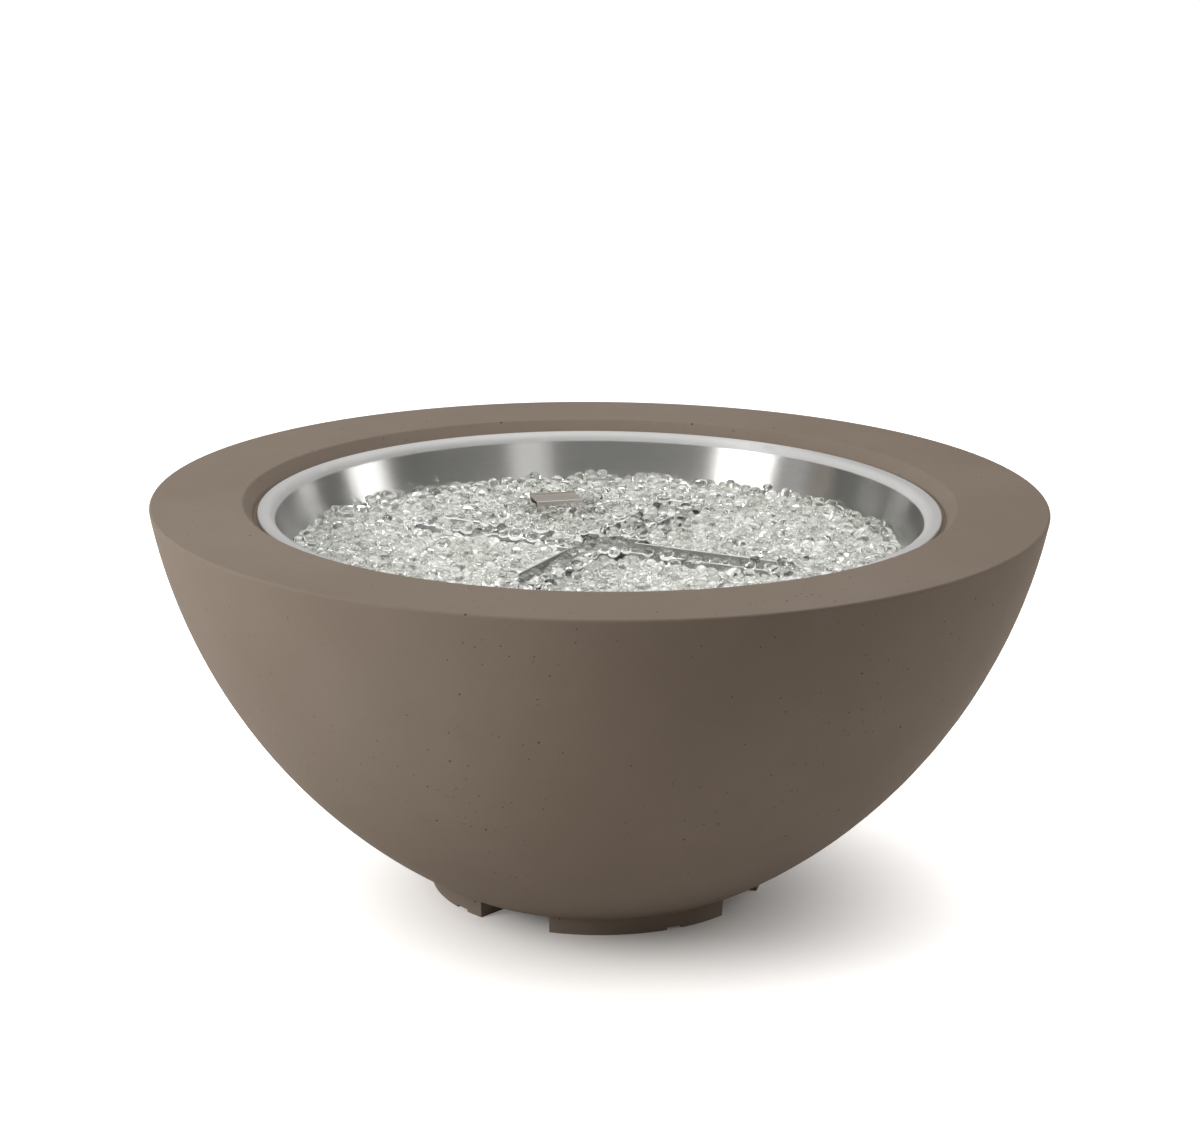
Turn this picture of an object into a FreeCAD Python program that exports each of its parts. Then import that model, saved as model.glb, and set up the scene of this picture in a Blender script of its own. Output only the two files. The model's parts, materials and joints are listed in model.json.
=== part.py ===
import FreeCAD, Part
import math
import os
import re
import Sketcher

# Gas fire pit bowl, at real size in millimetres.
# The origin is the centre of the floor under the bowl. +Z is up and +Y points to the control panel.

# Driving dimensions. Heights are above the floor unless a name says otherwise.
SIZES = {
    # Cast concrete bowl
    "rim_radius": 533.4,
    "bowl_height": 480,
    "side_centre_rise": 118.6,
    "wall": 22,
    "rim_width": 110,
    "rim_thickness": 42,
    "rim_haunch": 20,
    "rim_edge_round": 3,
    "opening_edge_round": 3.5,
    "ledge_drop": 17,
    "ledge_setback": 12.4,
    "ledge_width": 19,
    "ledge_chamfer": 2,
    "base_thickness": 24,
    "base_hole_radius": 110,
    "foot_height": 20,
    "foot_radius": 202.3,
    "foot_flare": 1.37,
    "foot_width": 52,
    "foot_gap_angle": 26.5,
    "notch_depth": 3,
    "notch_width": 20,
    "notch_length": 30,
    "left_notch_angle": -158.2,
    "front_notch_angle": -78.8,
    # Control panel and the pocket it sits in
    "panel_height": 200,
    "panel_length": 150,
    "panel_width": 84,
    "panel_sheet": 2,
    "panel_corner": 6,
    "pocket_depth": 10.5,
    "pocket_gap": 1.5,
    "window_length": 105,
    "window_width": 56,
    "window_corner": 6,
    "panel_screw_x": 68,
    "panel_screw_y": 34,
    # Burner pan
    "pan_sheet": 1.5,
    "pan_drop": 95,
    "pan_taper": 20.25,
    "pan_corner": 10,
    "lip_gap": 4.2,
    "lip_width": 17.56,
    "lip_height": 4.5,
    "lip_edge_round": 2,
    "lip_crest_round": 9,
    "weep_inset": 58.8,
    "weep_hole_radius": 4,
    # Cross burner
    "burner_turn": 48,
    "arm_length": 235,
    "arm_width": 44,
    "hub_width": 76,
    "burner_sheet": 1.5,
    "burner_height": 22,
    "burner_lift": 4,
    "port_radius": 1.6,
    "port_pitch": 24,
    "port_offset": 7,
    "spacer_circle_radius": 150,
    "spacer_radius": 8,
    "burner_screw_length": 12,
    "nipple_radius": 10.5,
    "nipple_bore_radius": 7.5,
    "nipple_length": 33,
    "nipple_collar_radius": 18,
    "washer_radius": 20,
    "washer_thickness": 1.5,
    "nut_height": 6,
    "nipple_nut_flats": 30,
    "mixer_radius": 14,
    "mixer_length": 44,
    "mixer_overlap": 12,
    "air_hole_radius": 4,
    "elbow_width": 22,
    "elbow_port_length": 18,
    # Glass gems
    "gem_depth": 36,
    # Ignition hood, bracket, electrode and flame sensor
    "hood_radius": 199,
    "hood_length": 59,
    "hood_depth": 36,
    "hood_height": 43.5,
    "hood_sheet": 1.2,
    "hood_upstand": 2,
    "cheek_bulge": 5,
    "cheek_drop": 3,
    "cheek_set_in": 3,
    "bracket_length": 52,
    "bracket_sheet": 1.5,
    "bracket_screw_x": 21,
    "probe_x": 8,
    "ceramic_radius": 4,
    "ceramic_collar_radius": 6,
    "ceramic_length": 44,
    "ceramic_below": 16,
    "probe_collar_height": 4,
    "electrode_radius": 1,
    "electrode_tail": 8,
    "sensor_radius": 3,
    "sensor_length": 48,
    # Gas valve and knob, along the panel's normal
    "valve_x": 30,
    "valve_radius": 17,
    "valve_length": 46,
    "valve_bore_radius": 11,
    "plug_length": 28,
    "plug_end_height": 8,
    "port_height": 15,
    "port_boss_stand": 3,
    "gas_way_radius": 3,
    "low_way_radius": 1,
    "bonnet_depth": 9,
    "bonnet_neck_radius": 8,
    "bonnet_neck_length": 8,
    "stem_stop_depth": 1.5,
    "stem_radius": 4,
    "stem_collar_radius": 6.5,
    "stem_collar_height": 1.5,
    "tongue_width": 3,
    "tongue_length": 9,
    "knob_push": 3,
    "knob_gap": 1,
    "knob_radius": 22,
    "knob_skirt_height": 7,
    "knob_height": 26,
    "knob_grip_width": 11,
    "knob_grip_length": 42,
    "knob_grip_round": 5,
    "knob_roof": 6,
    "knob_cavity_radius": 14.5,
    "knob_cavity_depth": 6,
    "port_boss_radius": 9,
    "flare_radius": 7.94,
    "flare_length": 14,
    "valve_nut_flats": 22,
    "valve_nut_height": 5,
    "sensor_boss_radius": 5,
    "sensor_boss_length": 5,
    # Push-button igniter, along the panel's normal
    "igniter_x": -32,
    "igniter_barrel_radius": 11.8,
    "igniter_length": 60,
    "igniter_flange_radius": 15.5,
    "igniter_flange_height": 2,
    "igniter_nut_flats": 30,
    "cap_thread_radius": 9,
    "cap_flange_radius": 12.5,
    "cap_flange_height": 2.5,
    "cap_depth": 6,
    "cap_roof": 1,
    "button_radius": 6.2,
    "button_collar_radius": 7.6,
    "button_collar_height": 2,
    "button_stand": 7,
    "button_travel": 3.5,
    "battery_radius": 5.25,
    "battery_length": 44.5,
    "battery_nub_radius": 1.75,
    "battery_nub_height": 1,
    "battery_play": 2,
    "coil_wall": 1,
    "terminal_width": 5,
    "terminal_thickness": 1,
    "terminal_length": 8,
    # Gas inlet on the base
    "inlet_x": 30,
    "inlet_y": 82,
    "inlet_bracket_width": 60,
    "inlet_bracket_foot": 38,
    "inlet_bracket_reach": 40,
    "inlet_bracket_lip": 20,
    "inlet_bracket_height": 30,
    "inlet_bracket_sheet": 2.5,
    "inlet_block_width": 24,
    "inlet_block_height": 26,
    "inlet_port_rise": 14,
    "inlet_port_length": 18,
    "inlet_nut_flats": 24,
    "inlet_screw_x": 20,
    "inlet_screw_length": 10,
    "inlet_shank_radius": 9,
    "inlet_shank_stand": 1,
    "inlet_way_radius": 4.5,
    # Gas lines, leads and small screws
    "line_radius": 6.35,
    "line_nut_flats": 22,
    "line_nut_length": 16,
    "line_nut_overlap": 12,
    "supply_first_run": 74,
    "supply_last_run": 53,
    "supply_dip": 17,
    "burner_first_run": 70,
    "burner_last_run": 80,
    "burner_side_step": 20,
    "burner_rise": 7,
    "lead_radius": 1.3,
    "lead_end_run": 31,
    "lead_side_step": 8.6,
    "lead_low_dip": 6.3,
    "lead_high_dip": 21,
    "capillary_radius": 1.5,
    "capillary_first_run": 33,
    "capillary_last_run": 31,
    "capillary_side_step": 33,
    "capillary_rise": 14,
    "screw_radius": 2.5,
    "screw_head_radius": 4.75,
    "screw_head_height": 3,
    "screw_socket_flats": 3,
    "screw_length": 9,
    "small_nut_flats": 8,
    "small_nut_height": 4,
    "insert_radius": 3.5,
    "insert_depth": 10,
    "seat_gap": 0.1,
    "hole_gap": 0.5,
    "running_gap": 0.05,
    "clear_gap": 0.3,
}

# Bends of the hidden lines and leads between their first and last runs. Each has its share of the way and
# its steps to the right and up from the straight way.
SUPPLY_BENDS = [(0.6, "0", "-supply_dip")]
BURNER_BENDS = [(0.5, "burner_side_step", "burner_rise")]
LEAD_BENDS = [(0.44, "-lead_side_step", "-lead_low_dip"), (0.865, "0", "-lead_high_dip")]
CAPILLARY_BENDS = [
    (0.25, "capillary_side_step * 2 / 3", "capillary_rise * 0.8"),
    (0.52, "capillary_side_step", "capillary_rise"),
    (0.765, "capillary_side_step * 0.63", "capillary_rise * 0.9"),
]

# Sizes worked out from the driving ones, as formulas
SIDE_FOOT = "(foot_radius + foot_flare)"
SIDE_Z = "(bowl_height + side_centre_rise)"
SIDE_SQUARES = f"(rim_radius^2 - {SIDE_FOOT}^2 + side_centre_rise^2 - ({SIDE_Z} - foot_height)^2)"
SIDE_X = f"({SIDE_SQUARES} / (2 * (rim_radius - {SIDE_FOOT})))"
SIDE_RADIUS = f"sqrt((rim_radius - {SIDE_X})^2 + side_centre_rise^2)"
BASE_TOP = "(foot_height + base_thickness)"
OPENING = "(rim_radius - rim_width)"
LEDGE_Z = "(bowl_height - ledge_drop)"
LEDGE_OUTER = f"({OPENING} - ledge_setback)"
LEDGE_INNER = f"({LEDGE_OUTER} - ledge_width)"
RIM_UNDER = "(bowl_height - rim_thickness)"
PANEL_Y = f"({SIDE_X} + sqrt({SIDE_RADIUS}^2 - ({SIDE_Z} - panel_height)^2))"
PAN_Z = "(bowl_height - pan_drop)"
PAN_UNDER = f"({PAN_Z} - pan_sheet)"
LIP_TOP = f"({LEDGE_Z} + lip_height)"
LIP_RADIUS = f"({LEDGE_OUTER} - lip_gap)"
PAN_FLOOR_RADIUS = f"({LIP_RADIUS} - lip_width - ({LIP_TOP} - {PAN_Z}) * tan(pan_taper))"
BURNER_Z = f"({PAN_Z} + burner_lift)"
BURNER_TOP = f"({BURNER_Z} + burner_height)"
NIPPLE_END = f"({BURNER_Z} - nipple_length - burner_lift)"
MIXER_TOP = f"({NIPPLE_END} + mixer_overlap)"
MIXER_END = f"({MIXER_TOP} - mixer_length)"
ELBOW_Z = f"({MIXER_END} - elbow_width / 2)"
GEM_TOP = f"({PAN_Z} + gem_depth)"
POCKET_Z = "(-pocket_depth)"
PANEL_FACE = "(panel_sheet - pocket_depth)"
VALVE_END = "(-pocket_depth - valve_length)"
PLUG_BOTTOM = f"({VALVE_END} + plug_end_height)"
PLUG_TOP = f"({PLUG_BOTTOM} + plug_length)"
BONNET_BOTTOM = "(-pocket_depth - bonnet_depth)"
STEM_STOP = "(-pocket_depth - stem_stop_depth)"
KNOB_BOTTOM = f"({PANEL_FACE} + knob_push + knob_gap)"
SHELF_TOP = f"({BASE_TOP} + inlet_bracket_height)"
INLET_Z = f"({SHELF_TOP} + inlet_port_rise)"
RISER_Y = "(inlet_y + inlet_bracket_reach)"
INLET_SCREW_Y = f"({RISER_Y} + inlet_bracket_foot / 2)"

# Ports on the valve and the elbow, in the frame of the panel or of the burner
VALVE_PORT_DEPTH = f"({VALVE_END} + port_height)"
VALVE_PORT_REACH = "(valve_radius + port_boss_stand + flare_length)"

# Each bend of a line takes this share of the shorter of its two runs
TRIM_SHARE = 0.45
VOLUME_TOLERANCE = 0.01

X_AXIS = FreeCAD.Vector(1, 0, 0)
Y_AXIS = FreeCAD.Vector(0, 1, 0)
Z_AXIS = FreeCAD.Vector(0, 0, 1)

doc = FreeCAD.newDocument("GasFirePitBowl")
sheet = doc.addObject("Spreadsheet::Sheet", "Sizes")
for row, (size_name, size) in enumerate(SIZES.items(), start=1):
    sheet.set(f"A{row}", size_name)
    sheet.set(f"B{row}", str(size))
    sheet.setAlias(f"B{row}", size_name)
doc.recompute()

SIZE_NAMES = re.compile(r"\b(" + "|".join(SIZES) + r")\b")
subparts = []


def cells(formula):
    """The formula with every size name pointed at its cell."""
    return SIZE_NAMES.sub(r"Sizes.\1", str(formula))


def number(formula):
    """The value of a formula now."""
    return float(sheet.evalExpression(cells(formula)))


def bind(thing, **formulas):
    """Binds properties to formulas. A double underscore in a name stands for a dot."""
    for name, formula in formulas.items():
        thing.setExpression(name.replace("__", "."), cells(formula))


def side_x(height, inset="0"):
    """Radius of the bowl's side at a height, or of the surface that lies inset within it."""
    return f"({SIDE_X} + sqrt(({SIDE_RADIUS} - {inset})^2 - ({SIDE_Z} - {height})^2))"


def pan_x(height):
    """Radius of the pan's inner wall at a height."""
    return f"({PAN_FLOOR_RADIUS} + ({height} - {PAN_Z}) * tan(pan_taper))"


# The panel's own frame: x along the panel, y down the bowl's side, z straight out of it.
PANEL_TILT = -90 - math.degrees(math.asin(number(f"({SIDE_Z} - panel_height) / {SIDE_RADIUS}")))
PANEL_FRAME = FreeCAD.Placement(
    FreeCAD.Vector(0, number(PANEL_Y), number("panel_height")),
    FreeCAD.Rotation(X_AXIS, PANEL_TILT),
)


def place(thing, x="0", y="0", z="0"):
    """Places a piece in the frame of the whole part."""
    bind(thing, Placement__Base__x=x, Placement__Base__y=y, Placement__Base__z=z)


def place_on_panel(thing):
    """Places a piece that is drawn in the panel's frame."""
    tilt = f"-90 deg - asin(({SIDE_Z} - panel_height) / {SIDE_RADIUS})"
    thing.Placement = PANEL_FRAME
    bind(thing, Placement__Base__y=PANEL_Y, Placement__Base__z="panel_height")
    bind(thing, Placement__Rotation__Angle=tilt)


def keep(thing, label):
    """Names a finished sub-part."""
    thing.Label = label
    subparts.append(thing)
    return thing


def new_body(label):
    body = doc.addObject("PartDesign::Body", label)
    return keep(body, label)


def new_sketch(body, role, lift="0", panel=False, turn=None):
    """A sketch on one of the body's origin planes, lifted along its normal."""
    sketch = body.newObject("Sketcher::SketchObject", "sketch")
    plane = next(item for item in body.Origin.OriginFeatures if item.Role == role)
    sketch.AttachmentSupport = (plane, [""])
    sketch.MapMode = "FlatFace"
    if panel:
        sketch.AttachmentOffset = PANEL_FRAME
        bind(sketch, AttachmentOffset__Base__y=PANEL_Y, AttachmentOffset__Base__z="panel_height")
    elif turn is not None:
        turned = FreeCAD.Rotation(Z_AXIS, number(turn))
        sketch.AttachmentOffset = FreeCAD.Placement(FreeCAD.Vector(), turned)
        bind(sketch, AttachmentOffset__Rotation__Angle=f"({turn}) * 1 deg", AttachmentOffset__Base__z=lift)
    else:
        bind(sketch, AttachmentOffset__Base__z=lift)
    return sketch


def size_point(sketch, geometry, end, x, y):
    """Fixes one point of a sketch by formulas for its x and y."""
    for kind, formula in (("DistanceX", x), ("DistanceY", y)):
        index = sketch.addConstraint(Sketcher.Constraint(kind, -1, 1, geometry, end, number(formula)))
        sketch.setExpression(f"Constraints[{index}]", cells(formula))


def arc_between(start, end, radius, turn):
    """The short arc from start to end. turn is 1 to bend left and -1 to bend right."""
    chord = end - start
    rise = math.sqrt(radius**2 - chord.Length**2 / 4)
    left = FreeCAD.Vector(-chord.y, chord.x, 0).normalize()
    centre = (start + end) * 0.5 + left * rise * turn
    first, last = (start, end) if turn > 0 else (end, start)
    angles = [math.atan2(point.y - centre.y, point.x - centre.x) for point in (first, last)]
    return Part.ArcOfCircle(Part.Circle(centre, Z_AXIS, radius), *angles)


def outline(sketch, corners):
    """Draws a closed outline. A corner is x, y and, if it has them, "round" and a radius,
    or "arc", a radius and a turn, where the edge that leaves the corner is an arc."""
    points = [FreeCAD.Vector(number(corner[0]), number(corner[1]), 0) for corner in corners]
    ends = []
    for index, corner in enumerate(corners):
        start, end = points[index], points[(index + 1) % len(corners)]
        if "arc" in corner:
            turn = corner[4]
            geometry = sketch.addGeometry(arc_between(start, end, number(corner[3]), turn), False)
            constraint = sketch.addConstraint(Sketcher.Constraint("Radius", geometry, number(corner[3])))
            sketch.setExpression(f"Constraints[{constraint}]", cells(corner[3]))
            ends.append((geometry, 1, 2) if turn > 0 else (geometry, 2, 1))
        else:
            geometry = sketch.addGeometry(Part.LineSegment(start, end), False)
            ends.append((geometry, 1, 2))
    for index, corner in enumerate(corners):
        before, after = ends[index - 1], ends[index]
        sketch.addConstraint(Sketcher.Constraint("Coincident", before[0], before[2], after[0], after[1]))
        size_point(sketch, after[0], after[1], corner[0], corner[1])
    for index, corner in enumerate(corners):
        if "round" in corner:
            sketch.fillet(ends[index][0], ends[index][1], number(corner[3]), True, True)
            kinds = [item.TypeId for item in sketch.Geometry]
            arc = max(i for i, kind in enumerate(kinds) if kind == "Part::GeomArcOfCircle")
            constraint = sketch.addConstraint(Sketcher.Constraint("Radius", arc, number(corner[3])))
            sketch.setExpression(f"Constraints[{constraint}]", cells(corner[3]))
    return sketch


def circle(sketch, x, y, radius):
    """Draws a circle by formulas for its centre and radius."""
    centre = FreeCAD.Vector(number(x), number(y), 0)
    geometry = sketch.addGeometry(Part.Circle(centre, Z_AXIS, number(radius)), False)
    size_point(sketch, geometry, 3, x, y)
    constraint = sketch.addConstraint(Sketcher.Constraint("Radius", geometry, number(radius)))
    sketch.setExpression(f"Constraints[{constraint}]", cells(radius))
    return sketch


def rectangle(sketch, length, width, corner=None, x="0", y="0"):
    """Draws a rectangle about a centre, with rounded corners if a radius is given."""
    rounding = ("round", corner) if corner else ()
    signs = ((-1, -1), (1, -1), (1, 1), (-1, 1))
    corners = [(f"{x} + {sx} * {length} / 2", f"{y} + {sy} * {width} / 2", *rounding) for sx, sy in signs]
    return outline(sketch, corners)


def revolve(body, sketch):
    """Turns a sketch round its upright axis."""
    feature = body.newObject("PartDesign::Revolution", "turned")
    feature.Profile = sketch
    feature.ReferenceAxis = (sketch, ["V_Axis"])
    feature.Angle = 360
    sketch.Visibility = False
    return feature


def pad(body, sketch, length, downward=False):
    feature = body.newObject("PartDesign::Pad", "pad")
    feature.Profile = sketch
    feature.Reversed = downward
    bind(feature, Length=length)
    return feature


def pocket(body, sketch, depth, upward=False):
    """Cuts against the sketch's normal, or along it if upward. Stops if nothing is cut."""
    doc.recompute()
    volume = body.Shape.Volume
    feature = body.newObject("PartDesign::Pocket", "pocket")
    feature.Profile = sketch
    feature.Reversed = upward
    bind(feature, Length=depth)
    doc.recompute()
    if body.Shape.Volume > volume - 1e-3:
        raise RuntimeError(f"{body.Label}: a pocket cuts nothing")
    return feature


def round_pattern(body, feature, count):
    """Repeats a feature round the body's Z axis."""
    pattern = body.newObject("PartDesign::PolarPattern", "pattern")
    pattern.Originals = [feature]
    pattern.Axis = (next(item for item in body.Origin.OriginFeatures if item.Role == "Z_Axis"), [""])
    pattern.Angle = 360
    pattern.Occurrences = count
    body.Tip = pattern
    return pattern


def rod(radius, length, x="0", y="0", z="0", axis=Z_AXIS):
    """A plain cylinder from a point along an axis."""
    cylinder = doc.addObject("Part::Cylinder", "rod")
    cylinder.Placement = FreeCAD.Placement(FreeCAD.Vector(), FreeCAD.Rotation(Z_AXIS, axis))
    bind(cylinder, Radius=radius, Height=length)
    place(cylinder, x, y, z)
    return cylinder


def block(length, width, height, x, y, z):
    """A plain block from its lowest corner."""
    box = doc.addObject("Part::Box", "block")
    bind(box, Length=length, Width=width, Height=height)
    place(box, x, y, z)
    return box


def hexagon(flats, height, x="0", y="0", z="0", axis=Z_AXIS):
    """A hexagonal bar with its size across flats."""
    prism = doc.addObject("Part::Prism", "hexagon")
    prism.Polygon = 6
    prism.Placement = FreeCAD.Placement(FreeCAD.Vector(), FreeCAD.Rotation(Z_AXIS, axis))
    bind(prism, Circumradius=f"{flats} / sqrt(3)", Height=height)
    place(prism, x, y, z)
    return prism


def cut(base, *tools):
    """The base with every tool taken away."""
    result = base
    for tool in tools:
        step = doc.addObject("Part::Cut", "cut")
        step.Base = result
        step.Tool = tool
        result = step
    return result


def fuse(*shapes):
    union = doc.addObject("Part::MultiFuse", "joined")
    union.Shapes = list(shapes)
    union.Refine = True
    return union


def group(label, members):
    """Several separate solids under one name."""
    compound = doc.addObject("Part::Compound", label)
    compound.Links = members
    return keep(compound, label)


def cap_screw(length, x, y, z, upward=False):
    """A socket cap screw. z is the seat under its head, and the shank points down, or up if upward."""
    shank_z = z if upward else f"{z} - {length}"
    head_z = f"{z} - screw_head_height" if upward else z
    socket_z = head_z if upward else f"{z} + screw_head_height / 2"
    shank = rod("screw_radius", length, x, y, shank_z)
    head = rod("screw_head_radius", "screw_head_height", x, y, head_z)
    socket = hexagon("screw_socket_flats", "screw_head_height / 2", x, y, socket_z)
    return cut(fuse(shank, head), socket)


def make_bowl_shell():
    """Concrete bowl: arc-sided wall, broad rim with a stepped ledge for the pan, holed base, four feet, and
    a pocket with a window for the control panel."""
    body = new_body("bowl_shell")
    foot_inner = "(foot_radius - foot_width)"
    lean = f"asin(side_centre_rise / {SIDE_RADIUS})"
    edge_trim = f"(rim_edge_round * tan(45 deg + {lean} / 2))"
    edge_z = f"(bowl_height - {edge_trim} * cos({lean}))"
    haunch_z = f"({RIM_UNDER} - rim_haunch)"
    profile = new_sketch(body, "XZ_Plane")
    outline(profile, [
        ("base_hole_radius", "foot_height"),
        (foot_inner, "foot_height"),
        (foot_inner, "0"),
        ("foot_radius", "0"),
        (SIDE_FOOT, "foot_height", "arc", SIDE_RADIUS, 1),
        (side_x(edge_z), edge_z, "arc", "rim_edge_round", 1),
        (f"rim_radius - {edge_trim}", "bowl_height"),
        (OPENING, "bowl_height", "round", "opening_edge_round"),
        (LEDGE_OUTER, LEDGE_Z),
        (f"{LEDGE_INNER} + ledge_chamfer", LEDGE_Z),
        (LEDGE_INNER, f"{LEDGE_Z} - ledge_chamfer"),
        (LEDGE_INNER, RIM_UNDER),
        (f"{side_x(RIM_UNDER, 'wall')} - rim_haunch", RIM_UNDER),
        (side_x(haunch_z, "wall"), haunch_z, "arc", f"{SIDE_RADIUS} - wall", -1),
        (side_x(BASE_TOP, "wall"), BASE_TOP),
        ("base_hole_radius", BASE_TOP),
    ])
    revolve(body, profile)

    gap = new_sketch(body, "XY_Plane")
    half = "(foot_gap_angle / 2)"
    near, far = f"({foot_inner} - hole_gap)", "(2 * foot_radius)"
    outline(gap, [
        (f"{near} * cos(45 - {half})", f"{near} * sin(45 - {half})"),
        (f"{far} * cos(45 - {half})", f"{far} * sin(45 - {half})"),
        (f"{far} * cos(45 + {half})", f"{far} * sin(45 + {half})"),
        (f"{near} * cos(45 + {half})", f"{near} * sin(45 + {half})"),
    ])
    round_pattern(body, pocket(body, gap, "foot_height", upward=True), 4)
    for notch_angle in ("left_notch_angle", "front_notch_angle"):
        notch = new_sketch(body, "XY_Plane", turn=notch_angle)
        rectangle(notch, "notch_length", "notch_width", x="foot_radius")
        pocket(body, notch, "notch_depth", upward=True)

    seat = new_sketch(body, "XY_Plane", panel=True)
    seat_length, seat_width = "(panel_length + 2 * pocket_gap)", "(panel_width + 2 * pocket_gap)"
    rectangle(seat, seat_length, seat_width, "(panel_corner + pocket_gap)")
    pocket(body, seat, "pocket_depth")
    window = new_sketch(body, "XY_Plane", panel=True)
    rectangle(window, "window_length", "window_width", "window_corner")
    pocket(body, window, "(2 * wall)")
    holes = new_sketch(body, "XY_Plane", panel=True)
    for x in ("-panel_screw_x", "panel_screw_x"):
        for y in ("-panel_screw_y", "panel_screw_y"):
            circle(holes, x, y, "insert_radius + seat_gap")
    pocket(body, holes, "pocket_depth + insert_depth")

    base_holes = new_sketch(body, "XY_Plane", lift=BASE_TOP)
    for x in ("inlet_x - inlet_screw_x", "inlet_x + inlet_screw_x"):
        circle(base_holes, x, INLET_SCREW_Y, "insert_radius + seat_gap")
    pocket(body, base_holes, "insert_depth")


def make_burner_pan():
    """Spun stainless pan: turned-down hem, rounded crest, tapered wall and a holed floor."""
    body = new_body("burner_pan")
    centre_hole = "(nipple_radius + hole_gap)"
    sheet_across = "(pan_sheet / cos(pan_taper))"
    hem_inner = f"({LIP_RADIUS} - pan_sheet)"
    lip_under = f"({LIP_TOP} - pan_sheet)"
    corner_top = f"({PAN_Z} + pan_corner)"
    crest_end = f"({LIP_TOP} - lip_crest_round)"
    profile = new_sketch(body, "XZ_Plane")
    outline(profile, [
        (centre_hole, PAN_UNDER),
        (f"{pan_x(PAN_Z)} - pan_corner", PAN_UNDER),
        (f"{pan_x(corner_top)} + {sheet_across}", corner_top),
        (f"{pan_x(crest_end)} + {sheet_across}", crest_end),
        (f"{pan_x(LIP_TOP)} + lip_crest_round * tan(45 deg - pan_taper * 0.5 deg)", lip_under),
        (hem_inner, lip_under),
        (hem_inner, LEDGE_Z),
        (LIP_RADIUS, LEDGE_Z),
        (LIP_RADIUS, LIP_TOP, "round", "lip_edge_round"),
        (pan_x(LIP_TOP), LIP_TOP, "round", "lip_crest_round"),
        (pan_x(corner_top), corner_top),
        (f"{pan_x(PAN_Z)} - pan_corner", PAN_Z),
        (centre_hole, PAN_Z),
    ])
    revolve(body, profile)

    screw_hole = new_sketch(body, "XY_Plane", lift=PAN_Z, turn="burner_turn")
    circle(screw_hole, "spacer_circle_radius", "0", "screw_radius + hole_gap")
    round_pattern(body, pocket(body, screw_hole, "2 * pan_sheet"), 4)
    weep_hole = new_sketch(body, "XY_Plane", lift=PAN_Z, turn="burner_turn / 2")
    circle(weep_hole, f"{PAN_FLOOR_RADIUS} - weep_inset", "0", "weep_hole_radius")
    round_pattern(body, pocket(body, weep_hole, "2 * pan_sheet"), 6)
    probe_holes = new_sketch(body, "XY_Plane", lift=PAN_Z)
    circle(probe_holes, "-probe_x", "hood_radius", "ceramic_radius + hole_gap")
    circle(probe_holes, "probe_x", "hood_radius", "sensor_radius + hole_gap")
    for x in ("-bracket_screw_x", "bracket_screw_x"):
        circle(probe_holes, x, "hood_radius", "screw_radius + hole_gap")
    pocket(body, probe_holes, "2 * pan_sheet")


def cross_outline(sketch, arm_length, arm_width, hub_width):
    """Draws the burner's plan: four arms and a square hub with its corners between them."""
    corners = []
    for quarter in range(4):
        turn = f"({quarter} * 90)"
        for x, y in (
            (arm_length, f"-{arm_width} / 2"),
            (arm_length, f"{arm_width} / 2"),
            (f"{hub_width} / 2", f"{arm_width} / 2"),
            (f"{hub_width} / 2", f"{hub_width} / 2"),
            (f"{arm_width} / 2", f"{hub_width} / 2"),
        ):
            turned_x = f"(({x}) * cos{turn} - ({y}) * sin{turn})"
            turned_y = f"(({x}) * sin{turn} + ({y}) * cos{turn})"
            corners.append((turned_x, turned_y))
    return outline(sketch, corners)


def make_burner_tray():
    """Folded lower half of the burner: a cross-shaped tray with an inlet hole and four threaded holes."""
    body = new_body("burner_tray")
    plan = new_sketch(body, "XY_Plane", lift=BURNER_Z, turn="burner_turn")
    cross_outline(plan, "arm_length", "arm_width", "hub_width")
    pad(body, plan, "burner_height - burner_sheet")
    inside = new_sketch(body, "XY_Plane", lift=f"{BURNER_Z} + burner_sheet", turn="burner_turn")
    cross_outline(
        inside,
        "(arm_length - burner_sheet)",
        "(arm_width - 2 * burner_sheet)",
        "(hub_width - 2 * burner_sheet)",
    )
    pocket(body, inside, "burner_height", upward=True)
    inlet = new_sketch(body, "XY_Plane", lift=f"{BURNER_Z} + burner_sheet")
    circle(inlet, "0", "0", "nipple_bore_radius")
    pocket(body, inlet, "2 * burner_sheet")
    thread = new_sketch(body, "XY_Plane", lift=f"{BURNER_Z} + burner_sheet", turn="burner_turn")
    circle(thread, "spacer_circle_radius", "0", "screw_radius + running_gap")
    round_pattern(body, pocket(body, thread, "2 * burner_sheet"), 4)


def make_burner_deck():
    """Upper plate of the burner, with staggered flame ports along each arm."""
    body = new_body("burner_deck")
    plan = new_sketch(body, "XY_Plane", lift=BURNER_TOP, turn="burner_turn")
    cross_outline(plan, "arm_length", "arm_width", "hub_width")
    pad(body, plan, "burner_sheet", downward=True)
    ports = new_sketch(body, "XY_Plane", lift=BURNER_TOP, turn="burner_turn")
    for step in range(7):
        side = "port_offset" if step % 2 else "-port_offset"
        circle(ports, f"hub_width / 2 + ({step} + 1) * port_pitch", side, "port_radius")
    round_pattern(body, pocket(body, ports, "2 * burner_sheet"), 4)


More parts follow.
